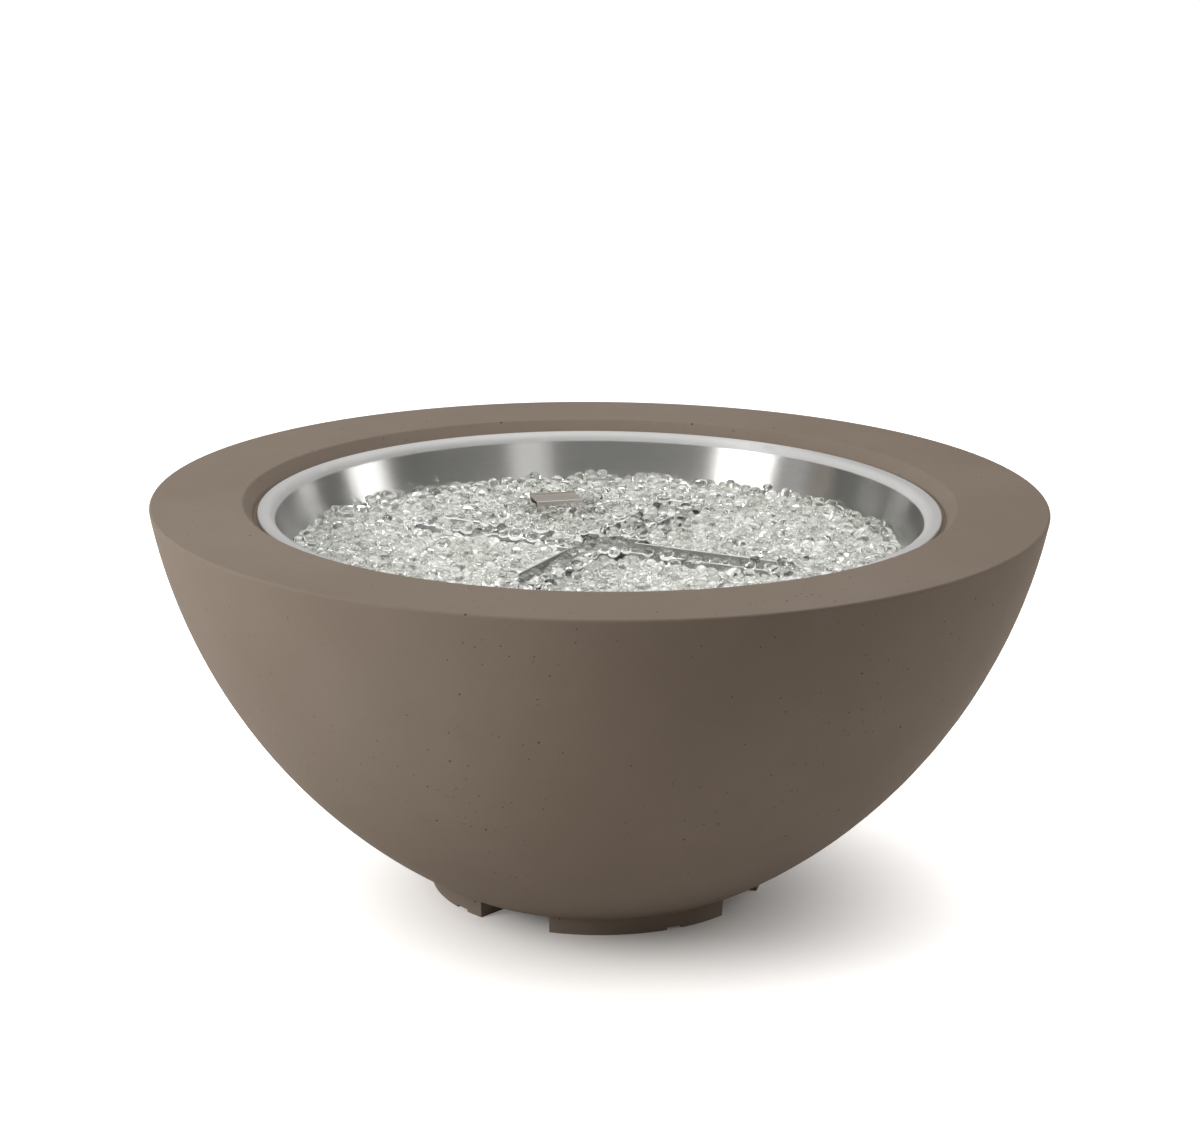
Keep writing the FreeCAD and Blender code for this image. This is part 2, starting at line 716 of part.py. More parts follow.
def make_burner_mount():
    """Spacers and screws that hold the burner off the pan's floor, and the gas inlet through it."""
    spacers, screws = [], []
    for quarter in range(4):
        turn = f"(burner_turn + {quarter} * 90)"
        x, y = f"spacer_circle_radius * cos{turn}", f"spacer_circle_radius * sin{turn}"
        tube = rod("spacer_radius", "burner_lift", x, y, PAN_Z)
        bore = rod("screw_radius + hole_gap", "burner_lift", x, y, PAN_Z)
        spacers.append(cut(tube, bore))
        screws.append(cap_screw("burner_screw_length", x, y, PAN_UNDER, upward=True))
    group("burner_spacers", spacers)
    group("burner_screws", screws)

    tube = rod("nipple_radius", "nipple_length + burner_lift", z=NIPPLE_END)
    collar = rod("nipple_collar_radius", "burner_lift", z=PAN_Z)
    bore = rod("nipple_bore_radius", "nipple_length + burner_lift", z=NIPPLE_END)
    keep(cut(fuse(tube, collar), bore), "burner_nipple")
    washer_z = f"({PAN_UNDER} - washer_thickness)"
    washer = rod("washer_radius", "washer_thickness", z=washer_z)
    washer_hole = rod("nipple_radius + seat_gap", "washer_thickness", z=washer_z)
    keep(cut(washer, washer_hole), "nipple_washer")
    nut_z = f"({washer_z} - nut_height)"
    nut = hexagon("nipple_nut_flats", "nut_height", z=nut_z)
    nut_hole = rod("nipple_radius + seat_gap", "nut_height", z=nut_z)
    keep(cut(nut, nut_hole), "nipple_nut")


def make_gas_entry():
    """Air mixer under the nipple and the brass elbow whose spud sits in its lower end."""
    barrel = rod("mixer_radius", "mixer_length", z=MIXER_END)
    socket = rod("nipple_radius + seat_gap", "mixer_overlap", z=NIPPLE_END)
    throat = rod("nipple_bore_radius", "mixer_length", z=MIXER_END)
    air_z = f"({MIXER_END} + mixer_length / 2)"
    across = [rod("air_hole_radius", "2 * mixer_radius", x="-mixer_radius", z=air_z, axis=X_AXIS)]
    across.append(rod("air_hole_radius", "2 * mixer_radius", y="-mixer_radius", z=air_z, axis=Y_AXIS))
    keep(cut(barrel, socket, throat, *across), "air_mixer")

    side, half = "elbow_width", "elbow_width / 2"
    cube = block(side, side, side, f"-{half}", f"-{half}", f"{MIXER_END} - {side}")
    spud = rod("nipple_bore_radius - seat_gap", "mixer_overlap", z=MIXER_END)
    port = rod("flare_radius", f"{half} + elbow_port_length", z=ELBOW_Z, axis=Y_AXIS)
    way_in = rod("gas_way_radius", f"{half} + elbow_port_length", z=ELBOW_Z, axis=Y_AXIS)
    jet = rod("gas_way_radius / 2", f"{half} + mixer_overlap", z=ELBOW_Z)
    keep(cut(fuse(cube, spud, port), way_in, jet), "orifice_elbow")


def make_glass_gems():
    """The bed of loose glass gems as one solid, hollowed round the burner and the hood."""
    body = new_body("glass_gems")
    gap = "clear_gap"
    profile = new_sketch(body, "XZ_Plane")
    low, shoulder = f"({PAN_Z} + {gap})", f"({PAN_Z} + pan_corner)"
    outline(profile, [
        ("0", low),
        (f"{pan_x(PAN_Z)} - pan_corner - 2 * {gap}", low),
        (f"{pan_x(shoulder)} - 2 * {gap}", shoulder),
        (f"{pan_x(GEM_TOP)} - 2 * {gap}", GEM_TOP),
        ("0", GEM_TOP),
    ])
    revolve(body, profile)
    burner = new_sketch(body, "XY_Plane", lift=PAN_Z, turn="burner_turn")
    arm_space, hub_space = f"(arm_width + 2 * {gap})", f"(hub_width + 2 * {gap})"
    cross_outline(burner, f"(arm_length + {gap})", arm_space, hub_space)
    pocket(body, burner, f"burner_lift + burner_height + {gap}", upward=True)
    hood = new_sketch(body, "XY_Plane", lift=PAN_Z)
    hood_space = f"(hood_length + cheek_bulge + 2 * {gap})"
    rectangle(hood, hood_space, f"(hood_depth + 2 * {gap})", x="-cheek_bulge / 2", y="hood_radius")
    pocket(body, hood, "2 * gem_depth", upward=True)


def make_ignition_hood():
    """Folded stainless hood on the bracket: top, front and back walls, an upstand along the back edge and a
    bowed cheek on the left, set off from the top to let the flame in. Its right end is open."""
    body = new_body("ignition_hood")
    foot = f"({PAN_Z} + bracket_sheet)"
    top = f"({foot} + hood_height)"
    front, back = "(hood_radius - hood_depth / 2)", "(hood_radius + hood_depth / 2)"
    section = new_sketch(body, "YZ_Plane", lift="-hood_length / 2")
    outline(section, [
        (front, foot),
        (f"{front} + hood_sheet", foot),
        (f"{front} + hood_sheet", f"{top} - hood_sheet"),
        (f"{back} - hood_sheet", f"{top} - hood_sheet"),
        (f"{back} - hood_sheet", foot),
        (back, foot),
        (back, f"{top} + hood_upstand"),
        (f"{back} - hood_sheet", f"{top} + hood_upstand"),
        (f"{back} - hood_sheet", top),
        (front, top, "round", "hood_sheet"),
    ])
    pad(body, section, "hood_length")

    cheek = new_sketch(body, "XY_Plane", lift=foot)
    left, bow_y = "(-hood_length / 2)", "(hood_radius - hood_depth / 6)"
    outline(cheek, [
        (left, back),
        (f"{left} - cheek_bulge", bow_y),
        (f"{left} - cheek_bulge + cheek_set_in", f"{front} + cheek_set_in"),
        (f"{left} - cheek_bulge + cheek_set_in + hood_sheet", f"{front} + cheek_set_in"),
        (f"{left} - cheek_bulge + hood_sheet", bow_y),
        (f"{left} + hood_sheet", f"{back} - hood_sheet"),
        (f"{left} + hood_sheet", back),
    ])
    pad(body, cheek, "hood_height - cheek_drop")


def make_igniter():
    """Bracket, screws, electrode and flame sensor under the hood."""
    body = new_body("igniter_bracket")
    plate = new_sketch(body, "XY_Plane", lift=PAN_Z)
    rectangle(plate, "bracket_length", "hood_depth", y="hood_radius")
    circle(plate, "-probe_x", "hood_radius", "ceramic_radius + hole_gap")
    circle(plate, "probe_x", "hood_radius", "sensor_radius + hole_gap")
    for x in ("-bracket_screw_x", "bracket_screw_x"):
        circle(plate, x, "hood_radius", "screw_radius + hole_gap")
    pad(body, plate, "bracket_sheet")

    bracket_top = f"({PAN_Z} + bracket_sheet)"
    screws, nuts = [], []
    nut_z = f"({PAN_UNDER} - small_nut_height)"
    for x in ("-bracket_screw_x", "bracket_screw_x"):
        screws.append(cap_screw("screw_length", x, "hood_radius", bracket_top))
        nut = hexagon("small_nut_flats", "small_nut_height", x, "hood_radius", nut_z)
        thread = rod("screw_radius + running_gap", "small_nut_height", x, "hood_radius", nut_z)
        nuts.append(cut(nut, thread))
    group("bracket_screws", screws)
    group("bracket_nuts", nuts)

    at = {"x": "-probe_x", "y": "hood_radius"}
    ceramic_end = f"({PAN_Z} - ceramic_below)"
    shaft = rod("ceramic_radius", "ceramic_length", z=ceramic_end, **at)
    collar = rod("ceramic_collar_radius", "probe_collar_height", z=bracket_top, **at)
    core = rod("electrode_radius", "ceramic_length", z=ceramic_end, **at)
    keep(cut(fuse(shaft, collar), core), "electrode_ceramic")
    wire_length = "(ceramic_length + 2 * electrode_tail)"
    keep(rod("electrode_radius", wire_length, z=f"{ceramic_end} - electrode_tail", **at), "electrode_wire")

    at = {"x": "probe_x", "y": "hood_radius"}
    tip = rod("sensor_radius", "sensor_length", z=ceramic_end, **at)
    collar = rod("2 * sensor_radius", "probe_collar_height", z=bracket_top, **at)
    keep(fuse(tip, collar), "flame_sensor")


def make_control_panel():
    """Stainless plate in the pocket, with its screws and the inserts cast into the concrete."""
    body = new_body("control_panel")
    place_on_panel(body)
    plate = new_sketch(body, "XY_Plane", lift=POCKET_Z)
    rectangle(plate, "panel_length", "panel_width", "panel_corner")
    circle(plate, "valve_x", "0", "bonnet_neck_radius + hole_gap")
    circle(plate, "igniter_x", "0", "igniter_barrel_radius + hole_gap")
    columns, rows = ("-panel_screw_x", "panel_screw_x"), ("-panel_screw_y", "panel_screw_y")
    places = [(x, y) for x in columns for y in rows]
    for x, y in places:
        circle(plate, x, y, "screw_radius + hole_gap")
    pad(body, plate, "panel_sheet")
    screws, inserts = [], []
    for x, y in places:
        screws.append(cap_screw("screw_length", x, y, PANEL_FACE))
        insert_z = f"({POCKET_Z} - insert_depth)"
        sleeve = rod("insert_radius", "insert_depth", x, y, insert_z)
        thread = rod("screw_radius + running_gap", "insert_depth", x, y, insert_z)
        inserts.append(cut(sleeve, thread))
    place_on_panel(group("panel_screws", screws))
    place_on_panel(group("panel_inserts", inserts))


def on_panel(label, piece):
    """Names a piece that is drawn in the panel's frame, and places it there."""
    place_on_panel(keep(piece, label))


def make_valve():
    """Push-and-turn gas valve: body, bonnet, locknut, turning plug, sprung stem and knob."""
    at = {"x": "valve_x"}
    barrel = rod("valve_radius", "valve_length", z=VALVE_END, **at)
    outlet = rod("flare_radius", "flare_length", z=f"{VALVE_END} - flare_length", **at)
    down = {"x": "valve_x", "z": VALVE_PORT_DEPTH, "axis": Y_AXIS}
    inlet_boss = rod("port_boss_radius", "valve_radius + port_boss_stand", **down)
    inlet = rod("flare_radius", VALVE_PORT_REACH, **down)
    boss_length = "(valve_radius + sensor_boss_length)"
    sensor_boss = rod("sensor_boss_radius", boss_length, z=VALVE_PORT_DEPTH, axis=X_AXIS, **at)
    bore_length = f"({POCKET_Z} - {PLUG_BOTTOM} + seat_gap)"
    bore = rod("valve_bore_radius + running_gap", bore_length, z=f"{PLUG_BOTTOM} - seat_gap", **at)
    way_in = rod("gas_way_radius", VALVE_PORT_REACH, **down)
    out_length = "(plug_end_height + flare_length)"
    way_out = rod("gas_way_radius", out_length, z=f"{VALVE_END} - flare_length", **at)
    body = cut(fuse(barrel, outlet, inlet_boss, inlet, sensor_boss), bore, way_in, way_out)
    on_panel("valve_body", body)

    disc = rod("valve_bore_radius", "bonnet_depth", z=BONNET_BOTTOM, **at)
    neck = rod("bonnet_neck_radius", "bonnet_neck_length", z=POCKET_Z, **at)
    well_depth = f"({STEM_STOP} - {BONNET_BOTTOM})"
    well = rod("stem_collar_radius + clear_gap", well_depth, z=BONNET_BOTTOM, **at)
    stem_hole = rod("stem_radius + running_gap", "bonnet_depth + bonnet_neck_length", z=BONNET_BOTTOM, **at)
    on_panel("valve_bonnet", cut(fuse(disc, neck), well, stem_hole))

    nut = hexagon("valve_nut_flats", "valve_nut_height", z=PANEL_FACE, **at)
    nut_hole = rod("bonnet_neck_radius + seat_gap", "valve_nut_height", z=PANEL_FACE, **at)
    on_panel("valve_nut", cut(nut, nut_hole))

    plug = rod("valve_bore_radius", "plug_length", z=PLUG_BOTTOM, **at)
    stem_well_depth = "(knob_push + seat_gap)"
    stem_well = rod("stem_radius + seat_gap", stem_well_depth, z=f"{PLUG_TOP} - {stem_well_depth}", **at)
    plug_way = rod("gas_way_radius", f"{VALVE_PORT_DEPTH} - {PLUG_BOTTOM}", z=PLUG_BOTTOM, **at)
    high_way = rod("gas_way_radius", "valve_bore_radius", z=VALVE_PORT_DEPTH, axis=X_AXIS, **at)
    low_way = rod("low_way_radius", "valve_bore_radius", z=VALVE_PORT_DEPTH, axis=-Y_AXIS, **at)
    slot_width, slot_length = "(tongue_width + 2 * seat_gap)", "(2 * stem_radius + 2 * seat_gap)"
    slot_depth = f"(tongue_length + {stem_well_depth})"
    slot = block(
        slot_length,
        slot_width,
        slot_depth,
        f"valve_x - {slot_length} / 2",
        f"-{slot_width} / 2",
        f"{PLUG_TOP} - {slot_depth}",
    )
    on_panel("valve_plug", cut(plug, plug_way, high_way, low_way, stem_well, slot))

    collar_z = f"({STEM_STOP} - stem_collar_height - seat_gap)"
    stem_low = f"({PLUG_TOP} + seat_gap)"
    shank = rod("stem_radius", f"{KNOB_BOTTOM} + knob_height - knob_roof - {stem_low}", z=stem_low, **at)
    collar = rod("stem_collar_radius", "stem_collar_height", z=collar_z, **at)
    tongue_bar = rod("stem_radius", "tongue_length", z=f"{stem_low} - tongue_length", **at)
    tongue_slab = block(
        "2 * stem_radius",
        "tongue_width",
        "tongue_length",
        "valve_x - stem_radius",
        "-tongue_width / 2",
        f"{stem_low} - tongue_length",
    )
    tongue = doc.addObject("Part::Common", "tongue")
    tongue.Base = tongue_bar
    tongue.Tool = tongue_slab
    on_panel("valve_stem", fuse(shank, collar, tongue))

    spring_z = f"({PLUG_TOP} + seat_gap)"
    spring_length = f"({collar_z} - seat_gap - {spring_z})"
    coil = rod("stem_collar_radius", spring_length, z=spring_z, **at)
    coil_bore = rod("stem_radius + clear_gap", spring_length, z=spring_z, **at)
    on_panel("valve_spring", cut(coil, coil_bore))

    knob = new_body("control_knob")
    place_on_panel(knob)
    skirt = new_sketch(knob, "XY_Plane", lift=KNOB_BOTTOM)
    circle(skirt, "valve_x", "0", "knob_radius")
    pad(knob, skirt, "knob_skirt_height")
    grip = new_sketch(knob, "XY_Plane", lift=f"{KNOB_BOTTOM} + knob_skirt_height")
    rectangle(grip, "knob_grip_width", "knob_grip_length", "knob_grip_round", x="valve_x")
    pad(knob, grip, "knob_height - knob_skirt_height")
    cavity = new_sketch(knob, "XY_Plane", lift=KNOB_BOTTOM)
    circle(cavity, "valve_x", "0", "knob_cavity_radius")
    pocket(knob, cavity, "knob_cavity_depth", upward=True)
    socket = new_sketch(knob, "XY_Plane", lift=KNOB_BOTTOM)
    circle(socket, "valve_x", "0", "stem_radius + running_gap")
    pocket(knob, socket, "knob_height - knob_roof + seat_gap", upward=True)


def make_push_igniter():
    """Battery spark igniter: barrel, nut, screw-on cap, sprung button, battery and terminal."""
    at = {"x": "igniter_x"}
    floor = f"({PANEL_FACE} - igniter_length)"
    barrel = rod("igniter_barrel_radius", "igniter_length", z=floor, **at)
    flange = rod("igniter_flange_radius", "igniter_flange_height", z=PANEL_FACE, **at)
    blade = block(
        "terminal_width",
        "terminal_thickness",
        "terminal_length",
        "igniter_x - terminal_width / 2",
        "-terminal_thickness / 2",
        f"{floor} - terminal_length",
    )
    mouth_z = f"({PANEL_FACE} + igniter_flange_height)"
    well_depth = "(igniter_flange_height + cap_depth + button_collar_height)"
    well = rod("cap_thread_radius + seat_gap", well_depth, z=f"{mouth_z} - {well_depth}", **at)
    cell_depth = "(battery_length + button_travel + battery_play)"
    cell_z = f"({mouth_z} - {well_depth} - {cell_depth})"
    cell = rod("battery_radius + clear_gap", cell_depth, z=cell_z, **at)
    on_panel("igniter_body", cut(fuse(barrel, flange, blade), well, cell))

    nut_z = f"({POCKET_Z} - nut_height)"
    nut = hexagon("igniter_nut_flats", "nut_height", z=nut_z, **at)
    nut_hole = rod("igniter_barrel_radius + seat_gap", "nut_height", z=nut_z, **at)
    on_panel("igniter_nut", cut(nut, nut_hole))

    thread_z = f"({mouth_z} - cap_depth)"
    thread = rod("cap_thread_radius", "cap_depth", z=thread_z, **at)
    rim = rod("cap_flange_radius", "cap_flange_height", z=mouth_z, **at)
    hole = rod("button_radius + clear_gap", "cap_depth + cap_flange_height", z=thread_z, **at)
    guide = rod("button_collar_radius + clear_gap", "cap_depth - cap_roof", z=thread_z, **at)
    on_panel("igniter_cap", cut(fuse(thread, rim), hole, guide))

    collar_z = f"({mouth_z} - cap_roof - button_collar_height - seat_gap)"
    head_length = "(button_collar_height + cap_flange_height + button_stand)"
    head = rod("button_radius", head_length, z=collar_z, **at)
    collar = rod("button_collar_radius", "button_collar_height", z=collar_z, **at)
    on_panel("igniter_button", fuse(head, collar))

    battery_z = f"({cell_z} + seat_gap)"
    can = rod("battery_radius", "battery_length - battery_nub_height", z=battery_z, **at)
    nub = rod("battery_nub_radius", "battery_length", z=battery_z, **at)
    on_panel("igniter_battery", fuse(can, nub))
    spring_z = f"({battery_z} + battery_length + seat_gap)"
    spring_length = f"({collar_z} - seat_gap - {spring_z})"
    coil = rod("battery_radius", spring_length, z=spring_z, **at)
    coil_bore = rod("battery_radius - coil_wall", spring_length, z=spring_z, **at)
    on_panel("igniter_spring", cut(coil, coil_bore))


def make_gas_inlet():
    """Folded bracket on the base, its screws and inserts, and the elbow that the gas hose screws on from
    below, held in the bracket's shelf by a nut."""
    body = new_body("inlet_bracket")
    section = new_sketch(body, "YZ_Plane", lift="inlet_x - inlet_bracket_width / 2")
    riser_back, foot_top = f"({RISER_Y} + inlet_bracket_sheet)", f"({BASE_TOP} + inlet_bracket_sheet)"
    outline(section, [
        (RISER_Y, BASE_TOP),
        (f"{RISER_Y} + inlet_bracket_foot", BASE_TOP),
        (f"{RISER_Y} + inlet_bracket_foot", foot_top),
        (riser_back, foot_top, "round", "inlet_bracket_sheet"),
        (riser_back, SHELF_TOP, "round", "inlet_bracket_sheet"),
        ("inlet_y - inlet_bracket_lip", SHELF_TOP),
        ("inlet_y - inlet_bracket_lip", f"{SHELF_TOP} - inlet_bracket_sheet"),
        (RISER_Y, f"{SHELF_TOP} - inlet_bracket_sheet"),
    ])
    pad(body, section, "inlet_bracket_width")
    foot_holes = new_sketch(body, "XY_Plane", lift=BASE_TOP)
    places = [(x, INLET_SCREW_Y) for x in ("inlet_x - inlet_screw_x", "inlet_x + inlet_screw_x")]
    for x, y in places:
        circle(foot_holes, x, y, "screw_radius + hole_gap")
    pocket(body, foot_holes, "inlet_bracket_sheet", upward=True)
    elbow_hole = new_sketch(body, "XY_Plane", lift=SHELF_TOP)
    circle(elbow_hole, "inlet_x", "inlet_y", "inlet_shank_radius + hole_gap")
    pocket(body, elbow_hole, "inlet_bracket_sheet")

    screws, inserts = [], []
    for x, y in places:
        screws.append(cap_screw("inlet_screw_length", x, y, f"{BASE_TOP} + inlet_bracket_sheet"))
        insert_z = f"({BASE_TOP} - insert_depth)"
        sleeve = rod("insert_radius", "insert_depth", x, y, insert_z)
        thread = rod("screw_radius + running_gap", "insert_depth", x, y, insert_z)
        inserts.append(cut(sleeve, thread))
    group("inlet_screws", screws)
    group("inlet_inserts", inserts)

    at = {"x": "inlet_x", "y": "inlet_y"}
    half = "inlet_block_width / 2"
    corner = (f"inlet_x - {half}", f"inlet_y - {half}", SHELF_TOP)
    cube = block("inlet_block_width", "inlet_block_width", "inlet_block_height", *corner)
    nut_z = f"({SHELF_TOP} - inlet_bracket_sheet - nut_height)"
    shank_z = f"({nut_z} - inlet_shank_stand)"
    flare_z = f"({shank_z} - flare_length)"
    shank = rod("inlet_shank_radius", f"{SHELF_TOP} - {shank_z}", z=shank_z, **at)
    flare = rod("flare_radius", "flare_length", z=flare_z, **at)
    port = rod("flare_radius", f"{half} + inlet_port_length", z=INLET_Z, axis=Y_AXIS, **at)
    way_in = rod("inlet_way_radius", f"{INLET_Z} - {flare_z}", z=flare_z, **at)
    way_out = rod("inlet_way_radius", f"{half} + inlet_port_length", z=INLET_Z, axis=Y_AXIS, **at)
    keep(cut(fuse(cube, shank, flare, port), way_in, way_out), "inlet_elbow")
    nut = hexagon("inlet_nut_flats", "nut_height", z=nut_z, **at)
    nut_hole = rod("inlet_shank_radius + seat_gap", "nut_height", z=nut_z, **at)
    keep(cut(nut, nut_hole), "inlet_nut")


def rounded_route(points):
    """Straight runs joined by tangent arcs, each as large as its two runs allow, as a wire.
    Also returns the radii."""
    edges, radii = [], []
    start = points[0]
    for before, corner, after in zip(points, points[1:], points[2:]):
        back, ahead = before - corner, after - corner
        half_turn = (math.pi - back.getAngle(ahead)) / 2
        trim = TRIM_SHARE * min(back.Length, ahead.Length)
        radius = trim / math.tan(half_turn)
        back.normalize()
        ahead.normalize()
        inward = (back + ahead).normalize()
        centre = corner + inward * math.hypot(radius, trim)
        arc_start, arc_end = corner + back * trim, corner + ahead * trim
        arc_middle = centre - inward * radius
        edges.append(Part.LineSegment(start, arc_start).toShape())
        edges.append(Part.Arc(arc_start, arc_middle, arc_end).toShape())
        radii.append(radius)
        start = arc_end
    edges.append(Part.LineSegment(start, points[-1]).toShape())
    return Part.Wire(edges), radii


def swept_tube(wire, radius):
    """A round bar along a wire, checked by its volume."""
    start = wire.Edges[0].Vertexes[0].Point
    direction = wire.Edges[0].tangentAt(wire.Edges[0].FirstParameter)
    section = Part.Wire([Part.Circle(start, direction, radius).toShape()])
    tube = wire.makePipeShell([section], True, True)
    expected = math.pi * radius**2 * wire.Length
    if abs(tube.Volume / expected - 1) > VOLUME_TOLERANCE:
        raise RuntimeError("a tube's volume is not its section times its length")
    return tube


def route(start, first_run, end, last_run, bends):
    """The points of a line from port to port: a first and a last run, and bends between them."""
    first, last = start + first_run, end + last_run
    middle = []
    for share, right, up in bends:
        middle.append(first + (last - first) * share + FreeCAD.Vector(number(right), 0, number(up)))
    return [start, first, *middle, last, end]


def make_line(label, points, radius):
    """A line or lead along a route, as one solid."""
    wire, radii = rounded_route(points)
    print(label, "length", round(wire.Length), "radii", [round(value) for value in radii])
    feature = doc.addObject("Part::Feature", label)
    feature.Shape = swept_tube(wire, radius)
    return keep(feature, label)


def flare_nut(port, direction):
    """A line nut from a port's end, back over its thread and out along the line."""
    axis = FreeCAD.Vector(direction).normalize()
    length, overlap = number("line_nut_length"), number("line_nut_overlap")
    start = FreeCAD.Vector(port) - axis * overlap
    rotation = FreeCAD.Rotation(Z_AXIS, axis)
    corners = []
    for index in range(7):
        turn = math.radians(60 * index)
        reach = number("line_nut_flats / sqrt(3)")
        spoke = FreeCAD.Vector(math.cos(turn), math.sin(turn), 0)
        corners.append(start + rotation.multVec(spoke) * reach)
    nut = Part.Face(Part.makePolygon(corners)).extrude(axis * length)
    thread = Part.makeCylinder(number("flare_radius + running_gap"), overlap, start, axis)
    throat = Part.makeCylinder(number("line_radius + seat_gap"), length, start, axis)
    return nut.cut(thread).cut(throat)


def make_lines():
    """Gas lines, their nuts and the two leads, all held inside the bowl from end to end."""
    valve_x, valve_depth = number("valve_x"), number(VALVE_PORT_DEPTH)
    to_row = PANEL_FRAME.multVec
    outward = PANEL_FRAME.Rotation.multVec(Z_AXIS)
    down_side = PANEL_FRAME.Rotation.multVec(Y_AXIS)
    gap = number("clear_gap")

    valve_in = to_row(FreeCAD.Vector(valve_x, number(VALVE_PORT_REACH), valve_depth)) + down_side * gap
    valve_out = to_row(FreeCAD.Vector(valve_x, 0, number(f"{VALVE_END} - flare_length"))) - outward * gap
    inlet_port_y = number("inlet_y + inlet_block_width / 2 + inlet_port_length")
    inlet = FreeCAD.Vector(number("inlet_x"), inlet_port_y + gap, number(INLET_Z))
    elbow = FreeCAD.Vector(0, number("elbow_width / 2 + elbow_port_length") + gap, number(ELBOW_Z))
    first_run, last_run = Y_AXIS * number("supply_first_run"), down_side * number("supply_last_run")
    supply = route(inlet, first_run, valve_in, last_run, SUPPLY_BENDS)
    make_line("supply_line", supply, number("line_radius"))
    first_run, last_run = -outward * number("burner_first_run"), Y_AXIS * number("burner_last_run")
    burner = route(valve_out, first_run, elbow, last_run, BURNER_BENDS)
    make_line("burner_line", burner, number("line_radius"))
    supply_nuts = doc.addObject("Part::Feature", "supply_nuts")
    supply_nuts.Shape = Part.makeCompound([flare_nut(inlet, Y_AXIS), flare_nut(valve_in, down_side)])
    keep(supply_nuts, "supply_nuts")
    burner_nuts = doc.addObject("Part::Feature", "burner_nuts")
    burner_nuts.Shape = Part.makeCompound([flare_nut(elbow, Y_AXIS), flare_nut(valve_out, -outward)])
    keep(burner_nuts, "burner_nuts")

    probe_x, probe_y = number("probe_x"), number("hood_radius")
    probe_end = number(f"{PAN_Z} - ceramic_below")
    terminal = number(f"{PANEL_FACE} - igniter_length - terminal_length")
    lead_start = to_row(FreeCAD.Vector(number("igniter_x"), 0, terminal)) - outward * gap
    lead_end = FreeCAD.Vector(-probe_x, probe_y, probe_end - number("electrode_tail") - gap)
    end_run = number("lead_end_run")
    lead = route(lead_start, -outward * end_run, lead_end, -Z_AXIS * end_run, LEAD_BENDS)
    make_line("igniter_lead", lead, number("lead_radius"))
    boss = number("valve_x + valve_radius + sensor_boss_length")
    capillary_start = to_row(FreeCAD.Vector(boss, 0, valve_depth)) + X_AXIS * gap
    capillary_end = FreeCAD.Vector(probe_x, probe_y, probe_end - gap)
    first_run, last_run = X_AXIS * number("capillary_first_run"), -Z_AXIS * number("capillary_last_run")
    capillary = route(capillary_start, first_run, capillary_end, last_run, CAPILLARY_BENDS)
    make_line("sensor_lead", capillary, number("capillary_radius"))


make_bowl_shell()
make_burner_pan()
make_burner_tray()
make_burner_deck()
make_burner_mount()
make_gas_entry()
make_glass_gems()
make_ignition_hood()
make_igniter()
make_control_panel()
make_valve()
make_push_igniter()
make_gas_inlet()
make_lines()
doc.recompute()

for item in doc.Objects:
    if "Invalid" in item.State or "Error" in item.State:
        raise RuntimeError(f"{item.Label} did not recompute")
os.makedirs("parts", exist_ok=True)
for item in subparts:
    if item.Shape.isNull() or not item.Shape.isValid():
        raise RuntimeError(f"{item.Label} has no valid shape")
    item.Shape.exportStep(f"parts/{item.Label}.step")
    print(item.Label, len(item.Shape.Solids), round(item.Shape.Volume / 1000, 2), "cm3")
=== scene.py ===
import json
import math

import bmesh
import bpy
import numpy as np
from mathutils import Matrix, Vector
from mathutils.kdtree import KDTree


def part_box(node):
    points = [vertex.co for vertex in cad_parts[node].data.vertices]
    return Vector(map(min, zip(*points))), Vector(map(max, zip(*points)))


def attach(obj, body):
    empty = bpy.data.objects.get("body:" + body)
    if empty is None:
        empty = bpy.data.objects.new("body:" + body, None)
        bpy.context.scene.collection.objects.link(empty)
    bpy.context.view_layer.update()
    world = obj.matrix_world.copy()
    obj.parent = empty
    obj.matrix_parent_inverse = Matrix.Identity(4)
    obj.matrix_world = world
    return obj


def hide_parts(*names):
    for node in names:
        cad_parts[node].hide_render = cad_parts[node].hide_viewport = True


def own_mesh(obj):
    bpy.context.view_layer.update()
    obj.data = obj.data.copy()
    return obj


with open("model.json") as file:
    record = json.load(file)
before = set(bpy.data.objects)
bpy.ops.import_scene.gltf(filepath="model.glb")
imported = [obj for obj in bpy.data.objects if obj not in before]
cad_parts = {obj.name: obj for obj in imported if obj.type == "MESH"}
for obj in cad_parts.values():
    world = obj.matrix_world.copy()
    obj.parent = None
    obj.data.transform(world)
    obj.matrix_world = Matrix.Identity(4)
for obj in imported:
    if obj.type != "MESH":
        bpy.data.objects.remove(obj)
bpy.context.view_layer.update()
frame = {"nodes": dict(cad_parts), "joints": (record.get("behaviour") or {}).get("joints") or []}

# Looks of a gas fire pit bowl. Everything is in metres, in the frame of the solids.
nodes = frame["nodes"]
scene = bpy.context.scene
rng = np.random.default_rng(7)


# Colours and materials. Colours are written as 0 to 255 levels, and the scales of noise and cells per metre.

LIP_DEPTH = 0.009
LIP_STEP_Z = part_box("burner_pan")[1].z - LIP_DEPTH
LIP_BLEND = 0.001

CONCRETE_WARM, CONCRETE_PALE = (135, 122, 110), (142, 130, 119)
CONCRETE_PATCH, CONCRETE_SAND = (129, 118, 106), (118, 107, 96)
# The pin holes are painted near black inside, a painted shade in each hole
PIN_HOLE_SHADE = (48, 40, 34)
# Each size of pin hole: cells per metre, its radius in cells, and the share of cells with a hole in a drift
PIN_HOLES = ((62.0, 0.105, 0.16), (125.0, 0.13, 0.30))

